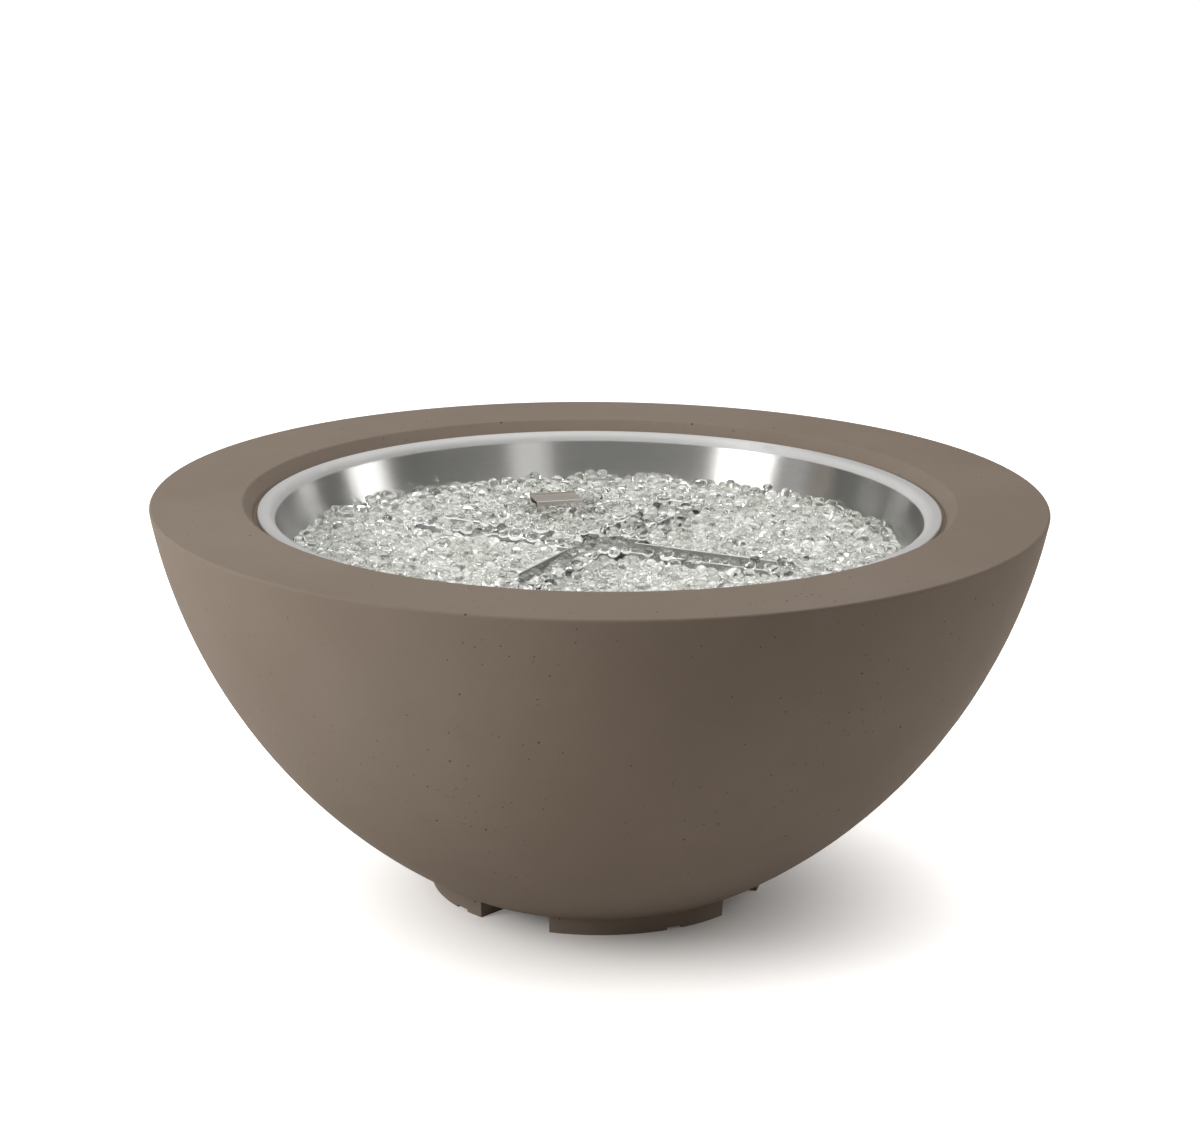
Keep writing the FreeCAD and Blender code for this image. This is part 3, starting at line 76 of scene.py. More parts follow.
WALL_DARK, WALL_BRIGHT = (178, 177, 174), (208, 207, 204)
# The lip's pale colours and its low metal are a painted sheen of the light from above
LIP_SHEEN_DARK, LIP_SHEEN_BRIGHT = (208, 209, 209), (220, 221, 221)
WALL_ROUGHNESS_LOW, WALL_ROUGHNESS_HIGH = 0.31, 0.37
LIP_SHEEN_METALLIC, LIP_ADDED_ROUGHNESS = 0.1, 0.15
# How far the spun lines run round the pan before they change
SPUN_RUN = 0.0015

DEEP_DARK, DEEP_PALE, DEEP_FLECK = (192, 192, 187), (226, 226, 223), (163, 165, 160)

# The sockets of a mix node that mixes colours
MIX_SHARE, MIX_FIRST, MIX_SECOND, MIX_RESULT = 0, 6, 7, 2


def linear(levels):
    """The linear colour of levels as they show on screen."""
    scaled = [level / 255 for level in levels]
    return tuple(x / 12.92 if x <= 0.04045 else ((x + 0.055) / 1.055) ** 2.4 for x in scaled) + (1.0,)


def darker(levels, share):
    return linear([level * share for level in levels])


class Shader:
    """A node material with a Principled surface and short ways to add nodes."""

    def __init__(self, name, **sockets):
        self.material = bpy.data.materials.new(name)
        self.material.use_nodes = True
        self.tree = self.material.node_tree
        self.surface = self.tree.nodes["Principled BSDF"]
        for socket, value in sockets.items():
            self.surface.inputs[socket.replace("_", " ")].default_value = value
        self.place = self.add("ShaderNodeTexCoord").outputs["Object"]

    def add(self, kind, settings=None, **inputs):
        """A new node. Inputs are values or outputs of other nodes, by socket name."""
        node = self.tree.nodes.new(kind)
        for key, value in (settings or {}).items():
            setattr(node, key, value)
        for key, value in inputs.items():
            self.feed(node.inputs[key.replace("_", " ")], value)
        return node

    def feed(self, socket, value):
        """Sets a socket to a value, or links another node's output to it."""
        if isinstance(value, bpy.types.NodeSocket):
            self.tree.links.new(value, socket)
        else:
            socket.default_value = value

    def math(self, operation, *values):
        node = self.add("ShaderNodeMath", {"operation": operation})
        for socket, value in zip(node.inputs, values):
            self.feed(socket, value)
        return node.outputs[0]

    def noise(self, scale, detail, roughness=0.5, vector=None):
        node = self.add("ShaderNodeTexNoise", Scale=scale, Detail=detail, Roughness=roughness)
        self.feed(node.inputs["Vector"], self.place if vector is None else vector)
        return node.outputs["Fac"]

    def remap(self, value, low, high, to_low=0.0, to_high=1.0):
        """Value moved from the range low to high into the range to_low to to_high, and kept within it."""
        node = self.add("ShaderNodeMapRange", {"clamp": True})
        for socket, item in zip(node.inputs, (value, low, high, to_low, to_high)):
            self.feed(socket, item)
        return node.outputs["Result"]

    def mix(self, share, first, second):
        node = self.add("ShaderNodeMix", {"data_type": "RGBA"})
        self.feed(node.inputs[MIX_SHARE], share)
        self.feed(node.inputs[MIX_FIRST], first)
        self.feed(node.inputs[MIX_SECOND], second)
        return node.outputs[MIX_RESULT]

    def bump(self, height, distance, strength):
        node = self.add("ShaderNodeBump", Height=height, Distance=distance, Strength=strength)
        self.set("Normal", node.outputs["Normal"])

    def set(self, socket, value):
        """Feeds one of the surface's own sockets."""
        self.feed(self.surface.inputs[socket], value)

    def finish_with(self, node):
        """Makes another shader node the material's surface."""
        output = next(item for item in self.tree.nodes if item.type == "OUTPUT_MATERIAL")
        self.feed(output.inputs["Surface"], node.outputs[0])


def concrete():
    """Cast concrete: taupe, softly mottled, with pin holes of two sizes that come in drifts. The holes' dark
    colour is a painted shade.
    """
    shader = Shader("cast_concrete", Roughness=0.88, Specular_IOR_Level=0.25)
    clouds = shader.remap(shader.noise(2.6, 3.0), 0.35, 0.65)
    patches = shader.remap(shader.noise(13.0, 4.0, 0.6), 0.35, 0.7)
    sand = shader.noise(700.0, 2.0, 0.6)
    colour = shader.mix(clouds, linear(CONCRETE_WARM), linear(CONCRETE_PALE))
    colour = shader.mix(shader.math("MULTIPLY", patches, 0.3), colour, linear(CONCRETE_PATCH))
    colour = shader.mix(shader.remap(sand, 0.35, 0.65, 0.0, 0.25), colour, linear(CONCRETE_SAND))
    drift = shader.remap(shader.noise(5.5, 2.0), 0.42, 0.66)
    holes = 0.0
    for cells, radius, most in PIN_HOLES:
        cell = shader.add("ShaderNodeTexVoronoi", Scale=cells, Vector=shader.place)
        chance = shader.add("ShaderNodeSeparateColor", Color=cell.outputs["Color"]).outputs["Red"]
        chosen = shader.math("LESS_THAN", chance, shader.remap(drift, 0.0, 1.0, most * 0.12, most))
        hole = shader.remap(cell.outputs["Distance"], radius * 0.6, radius, 1.0, 0.0)
        holes = shader.math("MAXIMUM", holes, shader.math("MULTIPLY", hole, chosen))
    # Painted shade in the pin holes
    colour = shader.mix(shader.math("MULTIPLY", holes, 0.85), colour, linear(PIN_HOLE_SHADE))
    shader.set("Base Color", colour)
    grain = shader.math("ADD", shader.math("MULTIPLY", sand, 0.14), shader.math("MULTIPLY", holes, -1.0))
    height = shader.math("ADD", grain, shader.math("MULTIPLY", shader.noise(110.0, 3.0), 0.22))
    shader.bump(height, 0.0008, 0.5)
    return shader.material


def spun_steel():
    """Stainless steel brushed round its axis, which draws lights out into bands. The lip is rougher, and its
    pale colour with little metal is a painted sheen of the light from above.
    """
    shader = Shader("spun_stainless", Anisotropic=1.0, Anisotropic_Rotation=0.25)
    round_axis = shader.add("ShaderNodeTangent", {"direction_type": "RADIAL", "axis": "Z"})
    shader.set("Tangent", round_axis.outputs[0])
    x, y, z = shader.add("ShaderNodeSeparateXYZ", Vector=shader.place).outputs
    squares = shader.math("ADD", shader.math("MULTIPLY", x, x), shader.math("MULTIPLY", y, y))
    turn = shader.math("ARCTAN2", y, x)
    run = shader.add("ShaderNodeCombineXYZ", X=shader.math("SQRT", squares), Z=z)
    shader.feed(run.inputs["Y"], shader.math("MULTIPLY", turn, SPUN_RUN))
    lines = shader.noise(2600.0, 3.0, 0.7, run.outputs[0])
    bands = shader.noise(900.0, 2.0, vector=run.outputs[0])
    on_lip = shader.remap(z, LIP_STEP_Z - LIP_BLEND, LIP_STEP_Z + LIP_BLEND)
    wall_colour = shader.mix(lines, linear(WALL_DARK), linear(WALL_BRIGHT))
    # The lip's colour is a painted sheen: pale, and with little metal
    lip_sheen_colour = shader.mix(lines, linear(LIP_SHEEN_DARK), linear(LIP_SHEEN_BRIGHT))
    shader.set("Base Color", shader.mix(on_lip, wall_colour, lip_sheen_colour))
    shader.set("Metallic", shader.remap(on_lip, 0.0, 1.0, 1.0, LIP_SHEEN_METALLIC))
    both = shader.math("ADD", lines, bands)
    wall_roughness = shader.remap(both, 0.6, 1.4, WALL_ROUGHNESS_LOW, WALL_ROUGHNESS_HIGH)
    added = shader.math("MULTIPLY", on_lip, LIP_ADDED_ROUGHNESS)
    shader.set("Roughness", shader.math("ADD", wall_roughness, added))
    shader.bump(lines, 0.00002, 0.14)
    return shader.material


def brushed_steel(name, grain, levels, roughness, metallic):
    """Sheet steel brushed along one axis. grain is the lines' scale along x, y and z."""
    shader = Shader(name, Metallic=metallic, Roughness=roughness)
    scaled = shader.add("ShaderNodeMapping", Vector=shader.place)
    scaled.inputs["Scale"].default_value = grain
    lines = shader.noise(1.0, 3.0, 0.7, scaled.outputs[0])
    shader.set("Base Color", shader.mix(lines, darker(levels, 0.8), linear(levels)))
    shader.set("Roughness", shader.remap(lines, 0.3, 0.7, roughness - 0.06, roughness + 0.1))
    shader.bump(lines, 0.00004, 0.4)
    return shader.material


def turned_metal(name, levels, roughness):
    """Machined or cast metal with fine scratches and slight staining."""
    shader = Shader(name, Metallic=1.0, Roughness=roughness)
    stain = shader.noise(60.0, 4.0, 0.6)
    fine = shader.noise(1500.0, 2.0, 0.6)
    shader.set("Base Color", shader.mix(stain, darker(levels, 0.82), linear(levels)))
    shader.set("Roughness", shader.remap(fine, 0.3, 0.7, roughness - 0.05, roughness + 0.12))
    shader.bump(fine, 0.00005, 0.3)
    return shader.material


def moulded(name, levels, roughness):
    """Moulded plastic, rubber or ceramic with a fine surface grain."""
    shader = Shader(name, Roughness=roughness)
    fine = shader.noise(900.0, 2.0)
    shader.set("Base Color", shader.mix(fine, darker(levels, 0.85), linear(levels)))
    shader.set("Roughness", shader.remap(fine, 0.3, 0.7, roughness - 0.06, roughness + 0.08))
    shader.bump(fine, 0.00006, 0.4)
    return shader.material


def clear_glass(name, levels, roughness):
    """Fire-polished glass. Its shadows are pale, because real glass passes most of the light on."""
    shader = Shader(name, Transmission_Weight=1.0, IOR=1.5, Roughness=roughness)
    cloud = shader.noise(70.0, 2.0)
    shader.set("Base Color", shader.mix(cloud, darker(levels, 0.98), linear(levels)))
    passed = shader.add("ShaderNodeBsdfTransparent", Color=(0.92, 0.922, 0.915, 1))
    is_shadow = shader.add("ShaderNodeLightPath").outputs["Is Shadow Ray"]
    both = shader.add("ShaderNodeMixShader")
    shader.feed(both.inputs[0], is_shadow)
    shader.feed(both.inputs[1], shader.surface.outputs[0])
    shader.feed(both.inputs[2], passed.outputs[0])
    shader.finish_with(both)
    return shader.material


def deep_glass():
    """Gems piled deep: pale grey-green cells, each of its own level, with bright and dark flecks."""
    shader = Shader("deep_glass", Roughness=0.25)
    cell = shader.add("ShaderNodeTexVoronoi", Scale=70.0, Vector=shader.place)
    level = shader.add("ShaderNodeSeparateColor", Color=cell.outputs["Color"]).outputs["Red"]
    fleck = shader.remap(shader.noise(240.0, 2.0), 0.36, 0.6)
    colour = shader.mix(level, linear(DEEP_DARK), linear(DEEP_PALE))
    colour = shader.mix(fleck, linear(DEEP_FLECK), colour)
    shader.set("Base Color", colour)
    shader.bump(shader.remap(cell.outputs["Distance"], 0.0, 0.7, 1.0, 0.0), 0.004, 0.7)
    return shader.material


CONCRETE = concrete()
SPUN_STEEL = spun_steel()
SHEET_STEEL = brushed_steel("brushed_sheet", (40.0, 900.0, 900.0), (196, 192, 186), 0.3, 1.0)
HOOD_STEEL = brushed_steel("heat_dulled_sheet", (22.0, 460.0, 460.0), (228, 221, 213), 0.42, 0.7)
BURNER_STEEL = brushed_steel("burner_sheet", (300.0, 300.0, 900.0), (164, 166, 159), 0.45, 0.85)
# The top of the burner's edge: near white with little metal, a painted highlight
EDGE_HIGHLIGHT_STEEL = brushed_steel("painted_highlight_edge", (300.0, 300.0, 900.0), (250, 250, 248), 0.34, 0.3)
SCREW_STEEL = turned_metal("bright_steel", (198, 198, 196), 0.24)
BRASS = turned_metal("brass", (206, 172, 104), 0.26)
ALUMINIUM = turned_metal("cast_aluminium", (190, 190, 192), 0.38)
BLACK_PLASTIC = moulded("black_plastic", (34, 34, 35), 0.42)
RED_PLASTIC = moulded("red_plastic", (168, 26, 20), 0.3)
CERAMIC = moulded("ceramic", (232, 228, 214), 0.45)
BATTERY = moulded("battery_wrap", (58, 60, 70), 0.3)
RUBBER = moulded("lead_cover", (28, 28, 28), 0.6)
COPPER = turned_metal("copper", (196, 128, 92), 0.3)
DEEP_GLASS = deep_glass()

NODE_MATERIALS = {
    CONCRETE: ("bowl_shell",),
    SPUN_STEEL: ("burner_pan",),
    HOOD_STEEL: ("ignition_hood", "igniter_bracket"),
    BURNER_STEEL: ("burner_tray", "burner_deck", "air_mixer"),
    SHEET_STEEL: ("control_panel", "inlet_bracket"),
    SCREW_STEEL: (
        "burner_spacers", "burner_screws", "nipple_washer", "bracket_screws", "bracket_nuts",
        "electrode_wire", "flame_sensor", "panel_screws", "valve_nut", "inlet_screws",
    ),
    BRASS: (
        "burner_nipple", "nipple_nut", "orifice_elbow", "panel_inserts", "valve_bonnet", "valve_plug",
        "valve_stem", "inlet_inserts", "inlet_elbow", "inlet_nut", "supply_nuts", "burner_nuts",
    ),
    ALUMINIUM: ("valve_body", "supply_line", "burner_line"),
    BLACK_PLASTIC: ("control_knob", "igniter_body", "igniter_nut", "igniter_cap"),
    RED_PLASTIC: ("igniter_button",),
    CERAMIC: ("electrode_ceramic",),
    BATTERY: ("igniter_battery",),
    RUBBER: ("igniter_lead",),
    COPPER: ("sensor_lead",),
}
for material, names in NODE_MATERIALS.items():
    for name in names:
        for slot in nodes[name].material_slots:
            slot.material = material


# Meshes

def new_piece(name, vertices, faces, materials, body="root", face_materials=None):
    """A smooth mesh piece that rides on a body."""
    mesh = bpy.data.meshes.new(name)
    mesh.from_pydata(vertices, [], faces)
    for material in materials:
        mesh.materials.append(material)
    mesh.polygons.foreach_set("use_smooth", [True] * len(mesh.polygons))
    if face_materials is not None:
        mesh.polygons.foreach_set("material_index", face_materials)
    piece = bpy.data.objects.new(name, mesh)
    scene.collection.objects.link(piece)
    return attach(piece, body)


def ring_faces(rows, count):
    """The faces between rows of points, where each row is a closed ring of count points."""
    return [
        [row * count + step, row * count + after, (row + 1) * count + after, (row + 1) * count + step]
        for row in range(rows - 1)
        for step, after in enumerate([*range(1, count), 0])
    ]


# The bed of glass gems, and the burner's raised edge, whose top is painted near white as a thin highlight
# among them

BURNER_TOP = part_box("burner_deck")[1].z
BURNER_HEIGHT = 0.026
PAN_FLOOR_Z = BURNER_TOP - BURNER_HEIGHT
GEM_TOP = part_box("glass_gems")[1].z
PAN_FLOOR_RADIUS = 0.3588
PAN_SLOPE = math.tan(math.radians(20.25))
BURNER_TURN = math.radians(48)
ARM_LENGTH, ARM_HALF, HUB_HALF = 0.235, 0.022, 0.038
EDGE_TOP = GEM_TOP + 0.0008
EDGE_SHEET = 0.0015
EDGE_SEGMENTS = 6
# Where each arm shows through the gems: from and to what distance from the middle, and what of its width
ARM_SHOWS = (
    (0.050, 0.118, -0.020, -0.002),
    (0.055, 0.170, -0.004, 0.020),
    (0.000, 0.200, -0.036, 0.006),
    (0.000, 0.212, -0.020, 0.036),
)
# The waves of the line where the gems lap over an arm: reach and rate. At the arm's end they reach further.
LAP_WAVES = ((0.004, 170), (0.003, 410))
END_LAP = 3
COVER_Z = BURNER_TOP + 0.0035
HEAP_TOP, HEAP_REACH = EDGE_TOP - 0.0045, 0.011

GEM_SMALL, GEM_LARGE = 0.0066, 0.0100
GEM_FLATNESS = 0.72
# A gem's second width and its height, as shares of its first width
GEM_WIDTHS, GEM_HEIGHTS = (0.88, 1.0), (0.66, 0.80)
UNEVENNESS, UNEVEN_RATE, UNEVEN_PHASE = 0.015, 1.4, 6
GEM_TILT = 0.25
GLASS_SHARES = (0.6, 0.3, 0.1)
SECTORS = 20

# The height of each layer of gems, their spacing and the share of the places that are taken
FULL_LAYER = (GEM_TOP - 0.0065, 0.0172, 1)
STRAYS = (GEM_TOP - 0.0005, 0.0205, 0.36)
ROW_SPACING = 0.87
PLACE_SPREAD, RISE_SPREAD = 0.2, 0.001
# Strays keep off the burner where it shows, and off this margin round it, apart from a few
BURNER_MARGIN, STRAYS_ON_BURNER = 0.012, 0.12
HOOD_PILE = 60
PILE_REACH, PILE_RISE = 0.034, 0.0025
PILE_START, PILE_SPREAD = GEM_TOP + 0.002, 0.6

SETTLE_ROUNDS = 14
GEM_CEILING_LOW, GEM_CEILING_HIGH = GEM_TOP + 0.0016, GEM_TOP + 0.0062
CEILING_ON_DECK = EDGE_TOP + 0.0008
# Shares of a gem's radius: what each push takes up, how near gems come to steel, to the pan's wall and over
# the burner's edge, and how deep they sink between the gems below
PUSH_SHARE, STEEL_ROOM, WALL_ROOM, START_ROOM, EDGE_LAP, SINK = 0.25, 0.8, 0.92, 0.7, 0.7, 0.4
EDGE_LAP_Z = EDGE_TOP - 0.0025

DEEP_Z = GEM_TOP - 0.0135
DEEP_RINGS, DEEP_TURNS = 62, 300
DEEP_FIRST_RADIUS, DEEP_WALL_GAP, DEEP_BURNER_GAP = 0.004, 0.002, 0.001
DEEP_ROUGHNESS, COVER_ROUGHNESS = 0.002, 0.0008
COVER_GRID, COVER_STEPS = 0.003, 64


def burner_depth(points):
    """How far each point lies inside the plan of the burner, in metres, negative outside."""
    c, s = math.cos(BURNER_TURN), math.sin(BURNER_TURN)
    u = np.abs(points[:, 0] * c + points[:, 1] * s)
    v = np.abs(points[:, 1] * c - points[:, 0] * s)
    return np.maximum.reduce([
        np.minimum(ARM_LENGTH - u, ARM_HALF - v),
        np.minimum(ARM_LENGTH - v, ARM_HALF - u),
        np.minimum(HUB_HALF - u, HUB_HALF - v),
    ])


def burner_shows(points):
    """Where the gems leave the burner's dark steel or its edge in view."""
    shows = np.hypot(points[:, 0], points[:, 1]) < HUB_HALF
    for number, (near, far, right, left) in enumerate(ARM_SHOWS):
        a = BURNER_TURN + number * math.pi / 2
        along = points[:, 0] * math.cos(a) + points[:, 1] * math.sin(a)
        across = points[:, 1] * math.cos(a) - points[:, 0] * math.sin(a)
        wave = sum(
            reach * np.sin(along * rate + order * number)
            for order, (reach, rate) in enumerate(LAP_WAVES, start=1)
        )
        in_length = (along > near) & (along < far + END_LAP * wave)
        shows |= in_length & (across > right - wave) & (across < left + wave)
    return shows


def bed_floor(points):
    """The height of what the gems in view lie on: deep gems, heaped at the burner's edge, or its deck."""
    depth = burner_depth(points)
    heap = np.clip(1 - np.abs(depth) / HEAP_REACH, 0, 1)
    outside = DEEP_Z + (HEAP_TOP - DEEP_Z) * heap
    inside = np.where(burner_shows(points), BURNER_TOP, COVER_Z + (HEAP_TOP - COVER_Z) * heap)
    return np.where(depth > 0, inside, outside)


def hood_plan():
    """The centre and the half sizes of the hood's plan."""
    low, high = (np.array(corner)[:2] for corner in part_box("ignition_hood"))
    return (low + high) / 2, (high - low) / 2


def hood_distance(points):
    """How far each point lies from the hood's plan, in metres."""
    centre, half = hood_plan()
    return np.hypot(*np.maximum(np.abs(points[:, :2] - centre) - half, 0).T)


def wall_radius(height):
    return PAN_FLOOR_RADIUS + (height - PAN_FLOOR_Z) * PAN_SLOPE


def stretched(height):
    """A height in a space stretched upward so that flat gems are balls."""
    return (height - PAN_FLOOR_Z) / GEM_FLATNESS


def first_places():
    """A full layer of gems, strays on it and a pile at the hood, their radii, and which are not strays."""
    layers = []
    for height, spacing, share in (FULL_LAYER, STRAYS):
        steps = int(wall_radius(height) / spacing) + 2
        rows, columns = np.mgrid[-steps:steps + 1, -steps:steps + 1]
        plan = np.stack([columns + 0.5 * (rows % 2), rows * ROW_SPACING], axis=-1).reshape(-1, 2) * spacing
        plan += rng.normal(0, spacing * PLACE_SPREAD, plan.shape)
        radii = rng.uniform(GEM_SMALL, GEM_LARGE, len(plan))
        in_pan = np.hypot(*plan.T) < wall_radius(height) - radii * START_ROOM
        kept = in_pan & (rng.random(len(plan)) < share)
        is_stray = height > FULL_LAYER[0]
        if is_stray:
            in_view = burner_shows(plan) & (burner_depth(plan) > -BURNER_MARGIN)
            kept &= ~in_view | (rng.random(len(plan)) < STRAYS_ON_BURNER)
        rise = stretched(height) + rng.normal(0, RISE_SPREAD, len(plan))
        layers.append(np.column_stack([plan, rise, radii, np.full(len(plan), not is_stray)])[kept])
    centre, half = hood_plan()
    pile = centre + rng.uniform(-1, 1, (HOOD_PILE, 2)) * (half + PILE_REACH * PILE_SPREAD)
    rise = np.full(HOOD_PILE, stretched(PILE_START))
    radii = rng.uniform(GEM_SMALL, GEM_LARGE, HOOD_PILE)
    layers.append(np.column_stack([pile, rise, radii, np.zeros(HOOD_PILE)]))
    gems = np.concatenate(layers)
    return gems[:, :3], gems[:, 3], gems[:, 4] > 0


def push_apart(places, radii):
    """Moves overlapping gems half of the way out of each other."""
    tree = KDTree(len(places))
    for index, place in enumerate(places):
        tree.insert(place, index)
    tree.balance()
    pairs = np.array([
        (index, other)
        for index, place in enumerate(places)
        for _, other, _ in tree.find_range(place, radii[index] + GEM_LARGE)
        if other > index
    ])
    first, second = pairs.T
    gap = places[second] - places[first]
    distance = np.maximum(np.linalg.norm(gap, axis=1), 1e-6)
    overlap = np.maximum(radii[first] + radii[second] - distance, 0)
    push = gap / distance[:, None] * (overlap * PUSH_SHARE)[:, None]
    np.add.at(places, first, -push)
    np.add.at(places, second, push)


def push_from_hood(places, radii):
    """Moves the gems that lie in the hood's plan out to its nearest side."""
    centre, half = hood_plan()
    offset = places[:, :2] - centre
    inward = half + radii[:, None] * STEEL_ROOM - np.abs(offset)
    rows = np.nonzero((inward > 0).all(axis=1))[0]
    side = inward[rows].argmin(axis=1)
    places[rows, side] += np.sign(offset[rows, side]) * inward[rows, side]


def push_from_edge(places, radii):
    """Moves gems off the burner's raised edge where it shows, to the side that they are mostly on."""
    step = 0.0005
    depth = burner_depth(places)
    slope = np.stack([
        burner_depth(places + np.array([step, 0, 0])) - depth,
        burner_depth(places + np.array([0, step, 0])) - depth,
    ], axis=1) / step
    lack = np.maximum(radii * STEEL_ROOM - np.abs(depth), 0) * np.where(depth > 0, 1, -1)
    places[:, :2] += slope * (lack * burner_shows(places))[:, None]


def settle(places, radii, in_layer):
    """Lets the gems find room over the deep ones, on the burner, round the hood and inside the pan's wall."""
    top = rng.uniform(GEM_CEILING_LOW, GEM_CEILING_HIGH, len(places))
    for _ in range(SETTLE_ROUNDS):
        push_apart(places, radii)
        push_from_hood(places, radii)
        push_from_edge(places, radii)
        height = PAN_FLOOR_Z + places[:, 2] * GEM_FLATNESS
        out = np.maximum(np.hypot(places[:, 0], places[:, 1]), 1e-6)
        places[:, :2] *= np.minimum(1, (wall_radius(height) - radii * WALL_ROOM) / out)[:, None]
        depth = burner_depth(places)
        shows = burner_shows(places)
        ground = stretched(bed_floor(places)) - radii * SINK
        on_edge = (np.abs(depth) < radii * EDGE_LAP) & ~shows
        ground[on_edge] = stretched(EDGE_LAP_Z)
        pile = PILE_RISE * np.exp(-(hood_distance(places) / PILE_REACH) ** 2)
        ceiling = np.where((depth > 0) & shows & in_layer, CEILING_ON_DECK, top + pile)
        places[:, 2] = np.maximum(np.minimum(places[:, 2], stretched(ceiling) - radii), ground + radii)
    places[:, 2] = PAN_FLOOR_Z + places[:, 2] * GEM_FLATNESS


def ball_mesh():
    """Points and triangles of an even ball of radius 1."""
    ball = bmesh.new()
    bmesh.ops.create_icosphere(ball, subdivisions=2, radius=1.0)
    points = np.array([vertex.co for vertex in ball.verts])
    triangles = np.array([[vertex.index for vertex in face.verts] for face in ball.faces])
    ball.free()
    return points, triangles


def gem_points(ball, radius):
    """One gem's points about its centre: a flattened, slightly uneven ball, tilted a little."""
    axes = radius * np.array([1.0, rng.uniform(*GEM_WIDTHS), rng.uniform(*GEM_HEIGHTS)])
    waves = rng.normal(0, 1, (2, 3))
    phases = rng.uniform(0, UNEVEN_PHASE, 2)
    uneven = 1 + UNEVENNESS * np.sin(ball @ waves.T * UNEVEN_RATE + phases).sum(axis=1)
    turn = Matrix.Rotation(rng.uniform(0, 2 * math.pi), 3, "Z")
    heading = rng.uniform(0, 2 * math.pi)
    tip = Matrix.Rotation(rng.normal(0, GEM_TILT), 3, Vector((math.cos(heading), math.sin(heading), 0)))
    return (ball * axes * uneven[:, None]) @ np.array(tip @ turn).T


def make_gems():
    """The gems, in sectors of about a hundred, each sector one piece."""
    places, radii, in_layer = first_places()
    settle(places, radii, in_layer)
    ball, triangles = ball_mesh()
    glasses = [
        clear_glass("clear_glass", (251, 251, 250), 0.0),
        clear_glass("pale_glass", (241, 242, 239), 0.02),
        clear_glass("smoky_glass", (223, 224, 220), 0.04),
    ]
    turn = np.arctan2(places[:, 1], places[:, 0]) / (2 * math.pi) % 1
    sector = (turn * SECTORS).astype(int)
    for index in range(SECTORS):
        vertices, faces, kinds = [], [], []
        for count, gem in enumerate(np.nonzero(sector == index)[0]):
            vertices.append(gem_points(ball, radii[gem]) + places[gem])
            faces.append(triangles + count * len(ball))
            kinds += [int(rng.choice(3, p=GLASS_SHARES))] * len(triangles)
        vertices, faces = np.concatenate(vertices).tolist(), np.concatenate(faces).tolist()
        piece = new_piece(f"glass_gems_{index + 1:02d}", vertices, faces, glasses, face_materials=kinds)
        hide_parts("glass_gems")


def make_deep_bed():
    """The deep gems that only glimmer between the ones above, as one bumpy surface round the burner."""
    radii = np.linspace(DEEP_FIRST_RADIUS, wall_radius(DEEP_Z) - DEEP_WALL_GAP, DEEP_RINGS)
    angles = np.arange(DEEP_TURNS) * 2 * math.pi / DEEP_TURNS
    places = np.array([(r * math.cos(a), r * math.sin(a)) for r in radii for a in angles])
    heights = bed_floor(places) + rng.uniform(-DEEP_ROUGHNESS, DEEP_ROUGHNESS, len(places))
    closed = (burner_depth(places) > -DEEP_BURNER_GAP) | (hood_distance(places) == 0)
    # Each face is turned over, so that it faces up
    upward = [face[:1] + face[:0:-1] for face in ring_faces(DEEP_RINGS, DEEP_TURNS)]
    faces = [face for face in upward if not closed[face].any()]
    piece = new_piece("glass_gems_deep", np.column_stack([places, heights]).tolist(), faces, [DEEP_GLASS])
    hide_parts("glass_gems")


def make_cover():
    """The small gems that hide the burner's deck, except where it shows."""
    rows, columns = np.mgrid[-COVER_STEPS:COVER_STEPS + 1, -COVER_STEPS:COVER_STEPS + 1]
    places = np.stack([columns, rows], axis=-1).reshape(-1, 2) * COVER_GRID
    heights = bed_floor(places) + rng.uniform(-COVER_ROUGHNESS, COVER_ROUGHNESS, len(places))
    open_places = (burner_depth(places) > EDGE_SHEET) & ~burner_shows(places)
    side = 2 * COVER_STEPS + 1
    faces = []
    for row in range(side - 1):
        for column in range(side - 1):
            first = row * side + column
            corners = [first, first + 1, first + side + 1, first + side]
            if open_places[corners].all():
                faces.append(corners)
    used = sorted({corner for face in faces for corner in face})
    place_of = {corner: index for index, corner in enumerate(used)}
    faces = [[place_of[corner] for corner in face] for face in faces]
    vertices = np.column_stack([places, heights])[used].tolist()
    piece = new_piece("glass_gems_on_burner", vertices, faces, [DEEP_GLASS])
    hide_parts("glass_gems")


def burner_outline(inset):
    """The corners of the burner's plan, drawn in by inset: four arms and a square hub."""
    arm, half, hub = ARM_LENGTH - inset, ARM_HALF - inset, HUB_HALF - inset
    quarter = np.array([(arm, half), (hub, half), (hub, hub), (half, hub), (half, arm)])
    corners = []
    for number in range(4):
        a = BURNER_TURN + number * math.pi / 2
        across, along = np.array([math.cos(a), math.sin(a)]), np.array([-math.sin(a), math.cos(a)])
        corners += [u * across + v * along for u, v in quarter]
    return corners


def make_burner_edge():
    """The rolled edge that stands round the burner's deck and holds its gems. Its rolled top is painted near
    white, a painted highlight.
    """
    radius = EDGE_SHEET / 2
    profile = [(0.0, BURNER_TOP)]
    for step in range(EDGE_SEGMENTS + 1):
        a = math.pi * step / EDGE_SEGMENTS
        profile.append((radius - radius * math.cos(a), EDGE_TOP - radius + radius * math.sin(a)))
    profile.append((EDGE_SHEET, BURNER_TOP))
    vertices = [(x, y, z) for inset, z in profile for x, y in burner_outline(inset)]
    faces = ring_faces(len(profile), len(burner_outline(0)))
    piece = new_piece("burner_edge", vertices, faces, [BURNER_STEEL, EDGE_HIGHLIGHT_STEEL])
    for polygon in piece.data.polygons:
        polygon.use_smooth = False
        # The faces of the rolled top take the painted highlight
        polygon.material_index = int(polygon.center.z > EDGE_TOP - EDGE_SHEET / 2)


